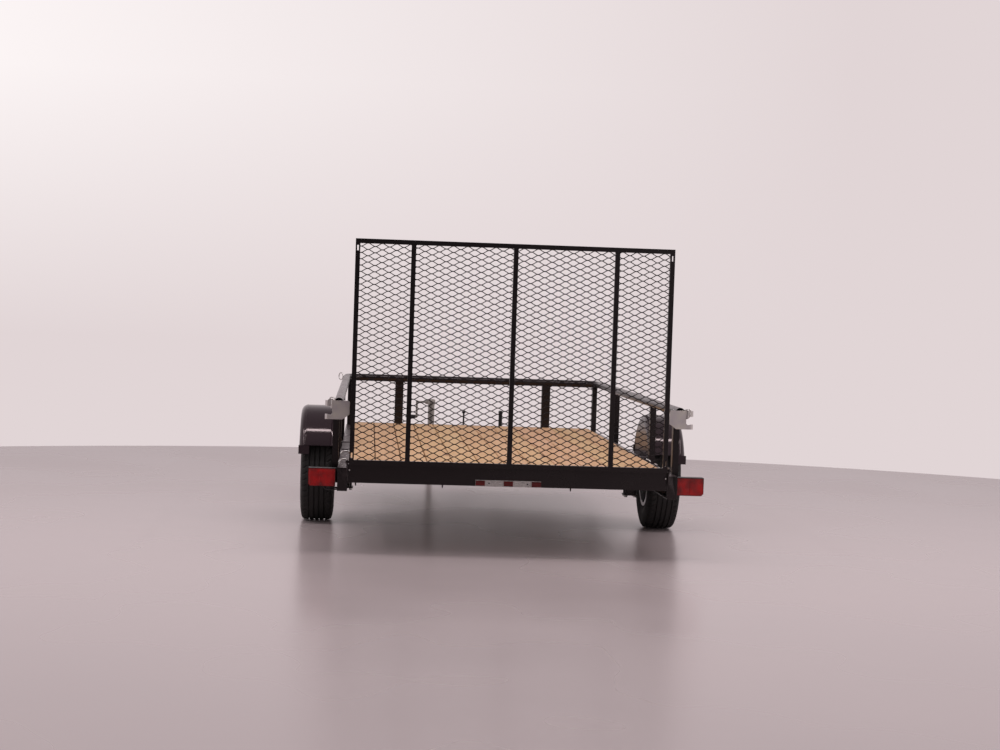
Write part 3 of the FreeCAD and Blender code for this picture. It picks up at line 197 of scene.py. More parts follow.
def sprayed_silver(name):
    """Steel wheel, sprayed with aluminium paint: silver with a fine flake under a thin varnish, its colours
    set darker than bright silver as painted shade for the wheel under the fender.
    """
    material, tree, place = blank(name)
    flake = noise(tree, place, 1.2, 1, 0.5)
    clouds = noise(tree, place, 70, 3, 0.6)
    # Both flake colours are darker than real silver paint: painted shade for the wheel's place under the
    # fender
    colour = mix(tree, span(tree, flake, 0.35, 0.65), linear("#807f81"), linear("#a4a3a4"))
    colour = mix(tree, span(tree, clouds, 0.55, 0.8, 0, 0.35), colour, linear("#777472"))
    dull = span(tree, clouds, 0.3, 0.7, 0.3, 0.42)
    close(tree, {"Base Color": colour, "Metallic": 0.75, "Roughness": dull,
                 "Coat Weight": 0.3, "Coat Roughness": 0.12}, flake, 0.00002)
    return material


def planed_pine(name, pitch):
    """Southern pine boards, treated and planed: long straight grain, dark resin lines, a few knots, and each
    board its own tone."""
    material, tree, place = blank(name)
    parts = add(tree, "SeparateXYZ", {"Vector": place})
    across, along, up = (parts.outputs[i] for i in range(3))
    board = calculate(tree, "FLOOR", calculate(tree, "DIVIDE", across, pitch))
    luck = add(tree, "TexWhiteNoise", {"W": board}, noise_dimensions="1D")
    lots = add(tree, "SeparateColor", {"Color": luck.outputs["Color"]})
    shift = calculate(tree, "MULTIPLY", luck.outputs["Value"], 17.0)
    moved = calculate(tree, "ADD", along, shift)
    own = add(tree, "CombineXYZ", {"X": across, "Y": moved, "Z": up}).outputs["Vector"]
    # Knots: about 22 mm, one every 0.9 m of board; the grain flows round them
    cells = add(tree, "Mapping", {"Vector": own, "Scale": (7.0, 1.15, 0.0)}).outputs["Vector"]
    knot = add(tree, "TexVoronoi", {"Vector": cells, "Scale": 1.0, "Randomness": 1.0})
    eye = add(tree, "SeparateColor", {"Color": knot.outputs["Color"]}).outputs["Red"]
    near = calculate(tree, "MULTIPLY", span(tree, knot.outputs["Distance"], 0.03, 0.16, 1.0, 0.0),
                     span(tree, eye, 0.55, 0.6))
    flow = noise(tree, own, 160, 2, 0.5, (1, 6, 1))
    bent = calculate(tree, "ADD", across, calculate(tree, "MULTIPLY", flow, 0.030))
    bent = calculate(tree, "ADD", bent, calculate(tree, "MULTIPLY", near, 0.012))
    # Growth rings: dark late wood about every 9 mm across the board
    ring_pitch = 0.009
    turns = calculate(tree, "FRACT", calculate(tree, "MULTIPLY", bent, 1 / ring_pitch))
    ring = span(tree, turns, 0.35, 0.95)
    pores = noise(tree, own, 1.6, 3, 0.7, (1, 30, 1))
    broad = noise(tree, own, 60, 3, 0.6, (1, 12, 1))
    early = mix(tree, lots.outputs["Red"], linear("#c8ab7d"), linear("#cba486"))
    early = mix(tree, span(tree, broad, 0.35, 0.7), early, linear("#bc976d"))
    late = mix(tree, lots.outputs["Green"], linear("#aa8152"), linear("#b08559"))
    share = calculate(tree, "MULTIPLY", ring, span(tree, pores, 0.3, 0.75, 0.25, 0.75))
    colour = mix(tree, share, early, late)
    colour = mix(tree, span(tree, near, 0.25, 0.8), colour, linear("#5f3417"))
    colour = mix(tree, span(tree, lots.outputs["Blue"], 0, 1, 0, 0.22), colour, linear("#b98a63"))
    close(tree, {"Base Color": colour, "Roughness": span(tree, ring, 0, 1, 0.72, 0.58), "IOR": 1.5},
          calculate(tree, "ADD", pores, ring), 0.0002)
    return material


def moulded_rubber(name):
    """Tyre rubber, moulded: matt near-black with grey road dust where it has rolled."""
    material, tree, place = blank(name)
    blot = noise(tree, place, 60, 4, 0.6)
    grain = noise(tree, place, 2.2, 2, 0.6)
    colour = mix(tree, span(tree, blot, 0.4, 0.75, 0.0, 0.6), linear("#101010"), linear("#272322"))
    close(tree, {"Base Color": colour, "Roughness": span(tree, blot, 0.3, 0.7, 0.62, 0.8), "IOR": 1.52},
          grain, 0.00012)
    return material


def moulded_acrylic(name, near, far, line):
    """Lamp lens, moulded acrylic: deep red, wet gloss, with random blotches of darker red as painted shade
    for where the housing behind it is far.
    """
    material, tree, place = blank(name)
    # Blotches mix toward the far colour: painted shade standing in for the housing behind the lens being far
    depth = noise(tree, place, 45, 2, 0.5)
    rows = add(tree, "TexWave", {"Vector": place, "Scale": 130.0, "Distortion": 0.0},
               wave_type="BANDS", bands_direction="X").outputs["Fac"]
    colour = mix(tree, span(tree, depth, 0.35, 0.7), linear(near), linear(far))
    colour = mix(tree, span(tree, rows, 0, 1, 0.0, 0.2), colour, linear(line))
    close(tree, {"Base Color": colour, "Roughness": span(tree, depth, 0.3, 0.7, 0.12, 0.2), "IOR": 1.49},
          rows, 0.00008)
    return material


def moulded_plastic(name, base):
    """Polypropylene or PVC, moulded: dull black with a fine grain from the mould."""
    material, tree, place = blank(name)
    grain = noise(tree, place, 1.5, 2, 0.6)
    blot = noise(tree, place, 40, 2, 0.5)
    colour = mix(tree, span(tree, blot, 0.35, 0.7), linear(base), linear("#2a2a2c"))
    close(tree, {"Base Color": colour, "Roughness": span(tree, grain, 0.3, 0.7, 0.42, 0.58), "IOR": 1.46},
          grain, 0.00008)
    return material


def brushed_steel(name):
    """Stainless trim and plated bolts: bright metal with fine lines along X from the belt."""
    material, tree, place = blank(name)
    lines = noise(tree, place, 0.8, 2, 0.6, (40, 1, 1))
    colour = mix(tree, span(tree, lines, 0.3, 0.7), linear("#b4b2b0"), linear("#dcdad8"))
    dull = span(tree, lines, 0.3, 0.7, 0.22, 0.36)
    close(tree, {"Base Color": colour, "Metallic": 1.0, "Roughness": dull}, lines, 0.00002)
    return material


paint = powder_coat("steel_powder_coated_black", "#0c0a0b", "#6e5f62", 0.22)
# Fender paint: its base colour is lighter than the other black and tinted purple, a painted reflection of the
# pale pink room with a painted glow round the crown's highlight
gloss_paint_and_painted_reflection = powder_coat("fender_steel_gloss_black", "#241b20", "#2b2429", 0.075)
mesh_paint = powder_coat("expanded_steel_dipped_black", "#080707", "#121011", 0.5)
zinc = zinc_plate("steel_zinc_electroplated", "#c9c4c6", "#d2cec6", 0.33)
bright = brushed_steel("stainless_trim_brushed")
spangled = galvanised("steel_hot_dip_galvanised")
silver = sprayed_silver("wheel_steel_silver_sprayed")
pine = planed_pine("pine_boards_planed", BOARD_PITCH * MM)
rubber = moulded_rubber("tyre_rubber_moulded")
red = moulded_acrylic("lens_acrylic_moulded_red", "#980306", "#560204", "#b00508")
deep_red = moulded_acrylic("lens_acrylic_moulded_deep_red", "#520407", "#300203", "#620508")
plastic = moulded_plastic("lamp_housing_plastic_moulded", "#141415")
cable = moulded_plastic("wire_sleeve_pvc_extruded", "#0d0d0e")

# Surfaces


def unit(vectors):
    """Vectors made one long."""
    return vectors / np.linalg.norm(vectors, axis=-1, keepdims=True)


def volume_of(points, faces):
    """Six times the volume that four-cornered faces enclose, with its sign: two triangles of each face."""
    corners = [points[faces[:, i]] for i in range(4)]
    return sum(np.einsum("ij,ij->", corners[0], np.cross(corners[i], corners[i + 1])) for i in (1, 2))


class Form:
    """Closed surfaces gathered for one piece, each a grid of points: rows along it and columns round it."""

    def __init__(self):
        self.points, self.faces, self.total = [], [], 0

    def grid(self, rows, loop=False, spots=None):
        """Joins a grid into a closed skin. Its ends are closed flat, or with loop the last row meets the
        first. The skin is turned outward by the sign of its volume, and repeated at each of the spots."""
        along, across = rows.shape[:2]
        index = np.arange(along * across).reshape(along, across)
        after = np.roll(index, -1, axis=0)[: along if loop else along - 1]
        first = index[: len(after)]
        quads = np.stack([first, np.roll(first, -1, axis=1), np.roll(after, -1, axis=1), after], -1)
        quads = quads.reshape(-1, 4)
        caps = [] if loop else [index[0][::-1], index[-1]]
        flat = rows.reshape(-1, 3)
        corners = flat - flat.mean(axis=0)
        volume = volume_of(corners, quads)  # and that of the two ends
        for cap in caps:
            fan = corners[cap]
            volume += np.einsum("j,ij->", fan[0], np.cross(fan[1:-1], fan[2:]))
        if volume < 0:
            quads, caps = quads[:, ::-1], [cap[::-1] for cap in caps]
        spots = np.zeros((1, 3)) if spots is None else np.atleast_2d(spots)
        self.points.append((flat[None] + spots[:, None]).reshape(-1, 3))
        for copy in range(len(spots)):
            start = self.total + copy * len(flat)
            self.faces += (quads + start).tolist() + [(cap + start).tolist() for cap in caps]
        self.total += len(flat) * len(spots)
        return self

    def slab(self, front, back):
        """Joins two grids of one shape by a rim round their edges, and turns the whole outward."""
        rows, columns = front.shape[:2]
        index = np.arange(rows * columns).reshape(rows, columns)
        quads = np.stack([index[:-1, :-1], index[:-1, 1:], index[1:, 1:], index[1:, :-1]], -1)
        quads = quads.reshape(-1, 4)
        border = np.concatenate([index[0, :-1], index[:-1, -1], index[-1, :0:-1], index[:0:-1, 0]])
        ahead = np.roll(border, -1)
        far = rows * columns
        rim = np.stack([ahead, border, border + far, ahead + far], -1)
        points = np.concatenate([front.reshape(-1, 3), back.reshape(-1, 3)])
        faces = np.concatenate([quads, quads[:, ::-1] + far, rim])
        if volume_of(points - points.mean(axis=0), faces) < 0:
            faces = faces[:, ::-1]
        self.points.append(points)
        self.faces += (faces + self.total).tolist()
        self.total += len(points)
        return self

    def piece(self, name, body, material, slot, sharp=35.0):
        """Makes the object at the origin, riding on a body, smooth except at edges sharper than the angle."""
        mesh = bpy.data.meshes.new(name)
        mesh.from_pydata(np.concatenate(self.points), [], self.faces)
        return finished(name, mesh, body, material, sharp)


def finished(name, mesh, body, material, sharp):
    """Object from a mesh, with its shading, material and body."""
    mesh.validate()
    mesh.polygons.foreach_set("use_smooth", np.ones(len(mesh.polygons), bool))
    mesh.set_sharp_from_angle(angle=math.radians(sharp))
    mesh.materials.clear()
    mesh.materials.append(material)
    made = bpy.data.objects.new(name, mesh)
    bpy.context.scene.collection.objects.link(made)
    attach(made, body)
    return made


def rounded(width, height, radius, steps=3):
    """Rectangle with quarter-circle corners: a circle's points about each of four inner corners in turn."""
    turn = np.linspace(0, np.pi / 2, steps + 1)
    corners = []
    for quarter, (su, sv) in enumerate(((1, 1), (-1, 1), (-1, -1), (1, -1))):
        angle = turn + quarter * np.pi / 2
        middle = np.array([su * (width / 2 - radius), sv * (height / 2 - radius)])
        corners.append(middle + radius * np.c_[np.cos(angle), np.sin(angle)])
    return np.concatenate(corners)


def circle_angles(count):
    """Equal angles once round a circle."""
    return np.arange(count) * 2 * np.pi / count


def circle(radius, sides):
    """Points at equal angles on a circle."""
    angle = circle_angles(sides)
    return radius * np.c_[np.cos(angle), np.sin(angle)]


def zigzag(distance, pitch):
    """Triangle wave: 1 at each whole pitch, 0 halfway between."""
    return np.abs((distance / pitch) % 1 - 0.5) * 2


def carried(profile, path, side, up):
    """A closed profile carried along a path: each point is the path's plus u times side plus v times up."""
    side, up = (np.broadcast_to(np.asarray(a, float), path.shape) for a in (side, up))
    return path[:, None] + profile[None, :, :1] * side[:, None] + profile[None, :, 1:] * up[:, None]


def eased(points, count):
    """Smooth path: a uniform cubic B-spline on the points, its ends held by repeating them."""
    points = np.asarray(points, float)
    points = np.concatenate([points[:1]] * 2 + [points] + [points[-1:]] * 2)
    t = np.linspace(0, len(points) - 3 - 1e-9, count)
    k, s = t.astype(int), (t % 1)[:, None]
    weights = ((1 - s) ** 3, 3 * s ** 3 - 6 * s ** 2 + 4, -3 * s ** 3 + 3 * s ** 2 + 3 * s + 1, s ** 3)
    return sum(w * points[k + i] for i, w in enumerate(weights)) / 6


def hose(points, radius, count, sides):
    """Round tube along a smooth path, its circle square to the path at every point."""
    path = eased(points, count)
    ahead = unit(np.gradient(path, axis=0))
    ahead[0], ahead[-1] = ahead[1], ahead[-2]
    hint = np.array([0.21, 0.13, 0.97]) if abs(ahead[:, 2]).max() < 0.95 else np.array([0.9, 0.4, 0.1])
    side = unit(np.cross(ahead, hint))
    return carried(circle(radius, sides), path, side, np.cross(side, ahead))


def turned(profile, centre, axis, sides):
    """Closed profile of (distance along the axis, radius) turned once round the axis through the centre."""
    axis = np.array(axis, float)
    side = unit(np.cross(axis, [0.3, 0.5, 0.8]))
    up = np.cross(axis, side)
    angle = circle_angles(sides)[:, None, None]
    arm = np.cos(angle) * side + np.sin(angle) * up
    return np.asarray(centre) + profile[None, :, :1] * axis + profile[None, :, 1:] * arm


def placed(rows):
    """Points in millimetres, with y from the frame's rear face, as points in metres."""
    return rows * MM + np.array([0.0, REAR, 0.0])


def stem(profile, centre, axis, sides=20):
    """Round or many-sided bar: a ring of each radius at each distance along the axis from the centre."""
    axis = unit(np.array(axis, float))
    side = unit(np.cross(axis, [0.3, 0.5, 0.8]))
    profile = np.asarray(profile, float)
    spokes = circle(1.0, sides)
    arm = spokes[:, :1] * side + spokes[:, 1:] * np.cross(axis, side)
    return placed(np.asarray(centre) + profile[:, :1, None] * axis + profile[:, 1:, None] * arm[None])


def bead(start, end, size=3.4):
    """Weld bead: a round bar from start to end whose radius swells and thins every 5 mm, with thin ends."""
    start, end = np.array(start, float), np.array(end, float)
    length = np.linalg.norm(end - start)
    row_gap, ripple, taper = 1.7, 5, 3.0
    share = np.linspace(0, 1, int(length / row_gap) + 4)
    swell = 1 + 0.14 * np.sin(share * length / ripple * 2 * np.pi) + 0.06 * np.sin(share * length * 0.37)
    swell *= np.clip(np.minimum(share, 1 - share) * length / taper, 0.25, 1)
    return stem(np.c_[share * length, size * swell], start, end - start, 8)


def softened(node, material, width):
    """Copy of a CAD piece with its triangles merged, its flat faces made whole, and its hard edges rounded
    as a rolled or folded edge is."""
    mesh = frame["nodes"][node].data.copy()
    work = bmesh.new()
    work.from_mesh(mesh)
    bmesh.ops.remove_doubles(work, verts=work.verts, dist=2e-5)
    bmesh.ops.dissolve_limit(work, angle_limit=math.radians(0.6), verts=work.verts, edges=work.edges)
    work.to_mesh(mesh)
    work.free()
    made = finished(node + "_form", mesh, frame["nodes"][node]["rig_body"], material, 35.0)
    edge = made.modifiers.new("edge", "BEVEL")
    edge.width = width * MM
    edge.segments = 2
    edge.limit_method = "ANGLE"
    edge.angle_limit = math.radians(40)
    edge.harden_normals = True
    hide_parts(node)


# Finishes of the CAD pieces


def pieces(names):
    """CAD piece names from a line of text; one that ends in an underscore is the right and the left piece."""
    for name in names.split():
        yield from (name + "right", name + "left") if name.endswith("_") else (name,)


FINISHES = (
    (paint, "side_rail_ rail_posts_ fender_brackets_ spring_hangers_ tongue_ leaf_spring_ top_rail_ "
            "rear_crossmember front_crossmember inner_crossmembers top_rail_front front_posts gate_frame "
            "axle_beam jack_mount coupler"),
    (gloss_paint_and_painted_reflection, "fender_"),
    (mesh_paint, "gate_mesh"),
    (zinc, "latch_plate_"),
    (red, "lamp_lens_"),
    (deep_red, "lamp_bar_lenses"),
    (bright, "lamp_bar"),
    (plastic, "lamp_case_ plug_holder"),
    (rubber, "tyre_"),
    (silver, "rim_"),
    (spangled, "hub_ jack_tube jack_leg jack_crank"),
    (pine, "deck_planks"),
)
for material, names in FINISHES:
    for name in pieces(names):
        materials = frame["nodes"][name].data.materials
        materials.clear()
        materials.append(material)

# Gate mesh: real expanded steel


def expanded_sheet():
    """Ribbons one above another, each a wave that steps up and down between the bonds; every second one is
    shifted by half a diamond, so that neighbours meet. A point is (x, depth, level + sign * lift(x))."""
    low, high = box("gate_mesh")
    long_way, short_way = 76.2, 33.8
    wide, thick, lean = 5.3, 1.8, 0.7
    # One diamond: where along it the strand turns, and how high it is there
    share = np.array([0.0, 0.055, 0.09, 0.41, 0.445, 0.5, 0.555, 0.59, 0.91, 0.945])
    lift = np.array([1.0, 0.97, 0.88, -0.88, -0.97, -1.0, -0.97, -0.88, 0.88, 0.97]) * short_way / 4
    count = int((high[0] - low[0]) / long_way) + 2
    x = (np.arange(count)[:, None] * long_way + share * long_way).ravel() + low[0] - long_way * 0.35
    inside = (x > low[0]) & (x < high[0])
    x_in = np.concatenate([[low[0]], x[inside], [high[0]]])
    wave = np.interp(x_in, x, np.tile(lift, count))
    half, deep = wide / 2, thick / 2
    flat = np.array([(-half, -deep), (half, -deep), (half, deep), (-half, deep)])
    margin = short_way / 4 + half
    levels = np.arange(low[2] + margin, high[2] - margin, short_way / 2)
    form = Form()
    for start, sign in enumerate((1, -1)):
        path = np.c_[x_in, np.full(len(x_in), (low[1] + high[1]) / 2), wave * sign]
        # Strands lean in the sheet as the die leaves them
        slope = np.clip(np.gradient(wave * sign, x_in), -0.5, 0.5)
        up = np.c_[np.zeros(len(x_in)), lean * slope, np.ones(len(x_in))]
        rows = carried(flat, path, up, [0.0, 1.0, 0.0])
        rows[..., 1] = np.clip(rows[..., 1], low[1], high[1])
        own_levels = levels[start::2]
        form.grid(placed(rows), spots=np.c_[np.zeros((len(own_levels), 2)), own_levels] * MM)
    return form


mesh_sheet = expanded_sheet().piece("gate_expanded_steel", "gate", mesh_paint, "black_paint")
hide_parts("gate_mesh")

# Deck


def deck_boards():
    """Planed boards: a rectangle with 3 mm rounded edges, carried along the bed, each set a hair lower by its
    own amount, a cosine of its number."""
    low, high = box("deck_planks")
    wide, thick, edge, play = 137.8, high[2] - low[2] - 0.8, 3.0, 0.5
    path = np.array([[0, low[1] + play, 0], [0, high[1] - play, 0]])
    rows = carried(rounded(wide, thick, edge), path, [1, 0, 0], [0, 0, 1])
    number = np.arange(BOARDS)
    drop = 0.175 * (np.cos(number * 2.3) - 1)
    middle = (number - (BOARDS - 1) / 2) * BOARD_PITCH
    spots = np.c_[middle, np.zeros(BOARDS), (low[2] + high[2]) / 2 + drop]
    return Form().grid(placed(rows), spots=spots * MM)


boards = deck_boards().piece("deck_boards", "trailer", pine, "pine")
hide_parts("deck_planks")

# Tyres


def tyre(side):
    """Tyre with its tread: the section is a smooth closed curve, turned about the axle. Over the tread the
    radius drops by the groove depth in four rings, and in slanted cuts at the shoulders."""
    half, bead_radius = 102.5, 178.3
    height = WHEEL_Z - bead_radius
    # Section points: across by half the width, up by the height above the bead
    outside = [(0.79, 0.0), (0.83, 0.10), (0.93, 0.24), (0.995, 0.40), (1.0, 0.52), (0.97, 0.70),
               (0.93, 0.82), (0.90, 0.90), (0.84, 0.955), (0.74, 0.985)]
    inside = [(0.52, 0.0), (0.60, 0.12), (0.82, 0.33), (0.85, 0.48), (0.80, 0.68), (0.66, 0.86)]
    wall = eased(outside, 30)
    inner = eased(inside, 14)
    crown_edge, crown_up = outside[-1]
    crown = np.linspace(crown_edge, -crown_edge, 78)[1:-1]
    crown_rise = crown_up + (1 - crown_up) * (1 - (crown / crown_edge) ** 2)
    across = np.concatenate([wall[:, 0], crown, -wall[::-1, 0], -inner[:, 0], inner[::-1, 0]])
    up = np.concatenate([wall[:, 1], crown_rise, wall[::-1, 1], inner[:, 1], inner[::-1, 1]])
    x, radius = across * half, bead_radius + up * height
    out = np.abs(across)
    outer_skin = np.zeros(len(x))
    outer_skin[:len(wall) * 2 + len(crown)] = 1.0

    # Four grooves round the tread, cuts across its shoulders and fine slits between the grooves
    groove_width, groove_depth, cut_depth, slit_depth, cuts_round = 4.6, 7.5, 5.0, 3.0, 54
    angle = circle_angles(432)
    grooves = sum(np.clip(1 - (np.abs(x - spot * half) / groove_width) ** 4, 0, 1)
                  for spot in (-0.46, -0.15, 0.15, 0.46))
    on_tread = np.clip((0.80 - out) / 0.02, 0, 1) * outer_skin
    shoulder = np.clip((out - 0.56) / 0.03, 0, 1) * np.clip((0.93 - out) / 0.04, 0, 1) * outer_skin
    turns = angle[:, None] * cuts_round / (2 * np.pi) + 0.22 * np.sin(across * 9.0)[None]
    cuts = np.clip(1.6 - np.abs(turns % 1.0 - 0.5) * 12, 0, 1) * shoulder[None]
    slits = np.clip(1.2 - np.abs((turns * 2 + 0.3) % 1.0 - 0.5) * 10, 0, 1)
    slits = slits * (on_tread * (1 - grooves))[None] * 0.3
    depth = np.maximum(cuts * cut_depth, slits * slit_depth)
    depth = np.maximum((grooves * on_tread)[None] * groove_depth, depth)

    # Two raised rings on each wall
    raised = 1.2
    rings = sum(np.exp(-((up - spot) / 0.012) ** 2) for spot in (0.16, 0.66)) * (out > 0.86) * outer_skin
    reach = radius[None] - depth
    place_x = np.broadcast_to((x + np.sign(x) * raised * (rings - 1))[None], reach.shape)
    grid = np.stack([place_x, reach * np.cos(angle)[:, None], reach * np.sin(angle)[:, None]], -1)
    return Form().grid(placed(grid + [side * WHEEL_X, WHEEL_Y, WHEEL_Z]), loop=True)


for side, name in SIDES:
    made = tyre(side).piece("tyre_tread_" + name, "wheel_" + name, rubber, "tyre", sharp=28)
    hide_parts("tyre_" + name)

# Rolled and folded edges on the frame
SOFT_NODES = (
    (paint, 2.0, "black_paint", "side_rail_ rear_crossmember front_crossmember rail_posts_ front_posts "
                                "tongue_"),
    (paint, 1.0, "black_paint", "gate_frame fender_brackets_ jack_mount"),
    (zinc, 0.7, "zinc", "latch_plate_"),
    (bright, 0.8, "bright_steel", "lamp_bar"),
    (plastic, 1.2, "black_plastic", "lamp_case_"),
)
for material, width, slot_name, names in SOFT_NODES:
    for name in pieces(names):
        softened(name, material, width)

# Tail lamps
LENS_CORNER = 12


def lens(side, name):
    """Moulded lens: a sheet whose depth depends on width and height. The edge rolls back and a groove
    follows it. The left part is a reflector of small pyramids, the right part has upright ribs about a
    bull's eye."""
    low, high = box(name)
    wide, tall = high[0] - low[0], high[2] - low[2]
    divide_x, eye_x, eye_radius = 68, 106, 27
    pyramid_pitch, rib_pitch, ring_pitch = 4.4, 5.2, 6.0
    across, up = np.meshgrid(np.linspace(0, 1, 170), np.linspace(0, 1, 110))
    z = up * tall
    corner = np.clip(LENS_CORNER - z, 0, LENS_CORNER)
    left, right = (corner, 0 * z) if side < 0 else (0 * z, corner)
    x = left + across * (wide - left - right)
    edge = np.minimum(np.minimum(x - left, wide - right - x), np.minimum(z, tall - z))
    depth = 2.6 * np.clip(1 - edge / 3.6, 0, 1) ** 2 + 1.5 * np.exp(-((edge - 7.5) / 1.2) ** 2)
    inside = np.clip((edge - 9.5) / 1.5, 0, 1)
    pyramids = np.maximum(zigzag(x, pyramid_pitch), zigzag(z, pyramid_pitch))
    eye = np.hypot(x - eye_x, z - tall * 0.5)
    optic = np.where(eye < eye_radius, zigzag(eye, ring_pitch), zigzag(x, rib_pitch))
    divide = np.exp(-((x - divide_x) / 1.4) ** 2) * 1.8
    depth = depth + inside * (np.where(x < divide_x, pyramids * 0.4, optic * 0.35) + divide)
    front = np.stack([low[0] + x, low[1] + depth, low[2] + z], -1)
    back = front.copy()
    back[..., 1] = high[1]
    return Form().slab(placed(front), placed(back))


def skirt(side, name):
    """Skirt of a lens: a square bar carried round the lens outline, mitred where it turns."""
    low, high = box(name)
    wide, tall = high[0] - low[0], high[2] - low[2]
    cut = LENS_CORNER
    turns = np.array([(cut, 0), (wide, 0), (wide, tall), (0, tall), (0, cut)], float)
    if side > 0:
        turns = (turns * [-1, 1] + [wide, 0])[::-1]
    ahead = unit(np.roll(turns, -1, axis=0) - turns)
    inward = np.c_[-ahead[:, 1], ahead[:, 0]]
    before = np.roll(inward, 1, axis=0)
    bar = 4.6
    inset = turns + bar * (inward + before) / (1 + (inward * before).sum(axis=1, keepdims=True))
    near, far = low[1] + 0.1, low[1] + 7.0
    corners = [np.c_[low[0] + edge[:, 0], np.full(len(turns), y), low[2] + edge[:, 1]]
               for edge, y in ((turns, near), (inset, near), (inset, far), (turns, far))]
    return placed(np.stack(corners, 1))


skirts = Form()
for side, name in SIDES:
    node = "lamp_lens_" + name
    made = lens(side, node).piece(node + "_moulded", "trailer", red, "red_lens", sharp=60)
    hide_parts(node)
    skirts.grid(skirt(side, node), loop=True)
skirts.piece("lamp_lens_skirts", "trailer", deep_red, "red_lens")

# The left lamp's two wires hang in loops and run in under the rail
wires = Form()
for reach, drop in ((0, 0), (26, -9)):
    apart = reach * 0.4
    route = [(-1000 + apart, 118, 382), (-1002 + apart, 114, 362), (-985 - reach / 2, 110, 344 + drop),
             (-955, 106, 338 + drop), (-930 + reach / 2, 106, 343 + drop),
             (-905 + reach, 112, 340 + drop / 2), (-880 + reach, 128, 346), (-874 + apart, 150, 356),
             (-874 + apart, 230, 366), (-874 + apart, 300, 368)]
    wires.grid(placed(hose(route, 4.4, 80, 10)))
wires.piece("tail_lamp_wires", "trailer", cable, "black_plastic")

# Welds
SIDE_POSTS = (210, 1050, 2665)
CORNER_POST = 3603
POST_HALF = 25


def seam(form, side, start, end, size=3.4):
    """Weld bead on one side of the trailer, from points given for the right side."""
    mirror = np.array([side, 1, 1])
    form.grid(bead(start * mirror, end * mirror, size))


trailer_welds = Form()
for side, _ in SIDES:
    out, post_x, tube_x = RAIL_OUT + 0.5, RAIL_OUT + 3, RAIL_OUT + 28
    for middle in SIDE_POSTS:
        for end in (-POST_HALF, POST_HALF):
            seam(trailer_welds, side, (out, middle + end, RAIL_TOP - 97), (out, middle + end, RAIL_TOP - 2))
        seam(trailer_welds, side, (post_x, middle - 22, RAIL_TOP), (post_x, middle + 22, RAIL_TOP))
        seam(trailer_welds, side, (tube_x, middle - 23, TUBE_Z - 18), (tube_x, middle + 23, TUBE_Z - 18), 3.0)
    for end in (-POST_HALF, POST_HALF):
        y = CORNER_POST + end
        seam(trailer_welds, side, (RAIL_IN + 16, y, RAIL_TOP + 1), (RAIL_IN + 47, y, RAIL_TOP + 1))
    # The rear crossmember's ends
    joint = RAIL_IN + 0.5
    for z in (RAIL_TOP - 80, RAIL_TOP + 18):
        seam(trailer_welds, side, (joint, 2, z), (joint, 38, z), 2.6)
    seam(trailer_welds, side, (joint, -0.5, RAIL_TOP - 77), (joint, -0.5, RAIL_TOP - 33), 2.6)
    # Front posts, then the fender brackets
    for x in (512, 568):
        seam(trailer_welds, side, (x, 3610, RAIL_TOP + 20), (x, 3656, RAIL_TOP + 20))
    z = RAIL_TOP + 1.5
    for middle in (WHEEL_Y - 300, WHEEL_Y + 300):
        for y in (middle - 20, middle + 20):
            seam(trailer_welds, side, (RAIL_IN + 16, y, z), (RAIL_IN + 53, y, z), 2.6)
trailer_welds.piece("trailer_weld_beads", "trailer", paint, "black_paint", sharp=70)

GATE_LOW, GATE_HIGH = (corner[2] for corner in box("gate_frame"))
gate_welds = Form()
for x in (-549, 0, 549):
    for end in (-12.5, 12.5):
        for z in (GATE_LOW + 25.3, GATE_HIGH - 25.3):
            gate_welds.grid(bead((x + end, -32, z), (x + end, -9, z), 2.2))
gate_welds.piece("gate_weld_beads", "gate", paint, "black_paint", sharp=70)

# Bolts, nuts and screws, each a list of (distance along it, radius)
DOWN, BACKWARD = (0, 0, -1), (0, -1, 0)
BOLT_HEAD = [(0, 11), (5.5, 11), (7.5, 9.6)]
WASHER = [(0, 13), (2, 13)]
U_BOLT_NUT = [(0, 10.5), (7.0, 10.5), (8.4, 9.2)]
ROUND_HEAD = [(0, 4.6), (5, 4.6), (6, 3.6)]
BAR_SCREW = [(-1, 4.2), (1.6, 4.2), (2.4, 3.0)]
SCREW_TIP = [(0, 4.2), (13, 4.2), (20, 0.8)]
DECK_SCREW = [(-1.2, 3.4), (0.15, 4.9), (0.5, 4.2), (0.62, 2.0)]

bolts = Form()
for side, _ in SIDES:
    bolts.grid(stem(ROUND_HEAD, (side * 857, -0.2, RAIL_TOP - 13), BACKWARD, 16))
    for y in (WHEEL_Y - 320, WHEEL_Y + 320):
        for x, out in ((921.8, 1), (852.2, -1)):
            bolts.grid(stem(BOLT_HEAD, (side * x, y, RAIL_TOP - 145), (side * out, 0, 0), 6))
    for x in (858, 916):
        for y in (WHEEL_Y - 38, WHEEL_Y + 38):
            bolts.grid(stem(WASHER, (side * x, y, WHEEL_Z - 130), DOWN))
            bolts.grid(stem(U_BOLT_NUT, (side * x, y, WHEEL_Z - 132), DOWN, 6))
bolts.piece("frame_bolts", "trailer", bright, "bright_steel", sharp=30)

tips = Form()
for x in (-822, -354, 342):
    tips.grid(stem(SCREW_TIP, (x, 24, RAIL_TOP - 80), DOWN, 12))
tips.piece("deck_screw_tips", "trailer", paint, "black_paint", sharp=30)

bar_low, bar_high = box("lamp_bar")
bar_screws = Form()
for x in (-104, 104):
    bar_screws.grid(stem(BAR_SCREW, (x, bar_low[1], (bar_low[2] + bar_high[2]) / 2), BACKWARD, 16))
bar_screws.piece("lamp_bar_screws", "trailer", plastic, "black_plastic", sharp=30)

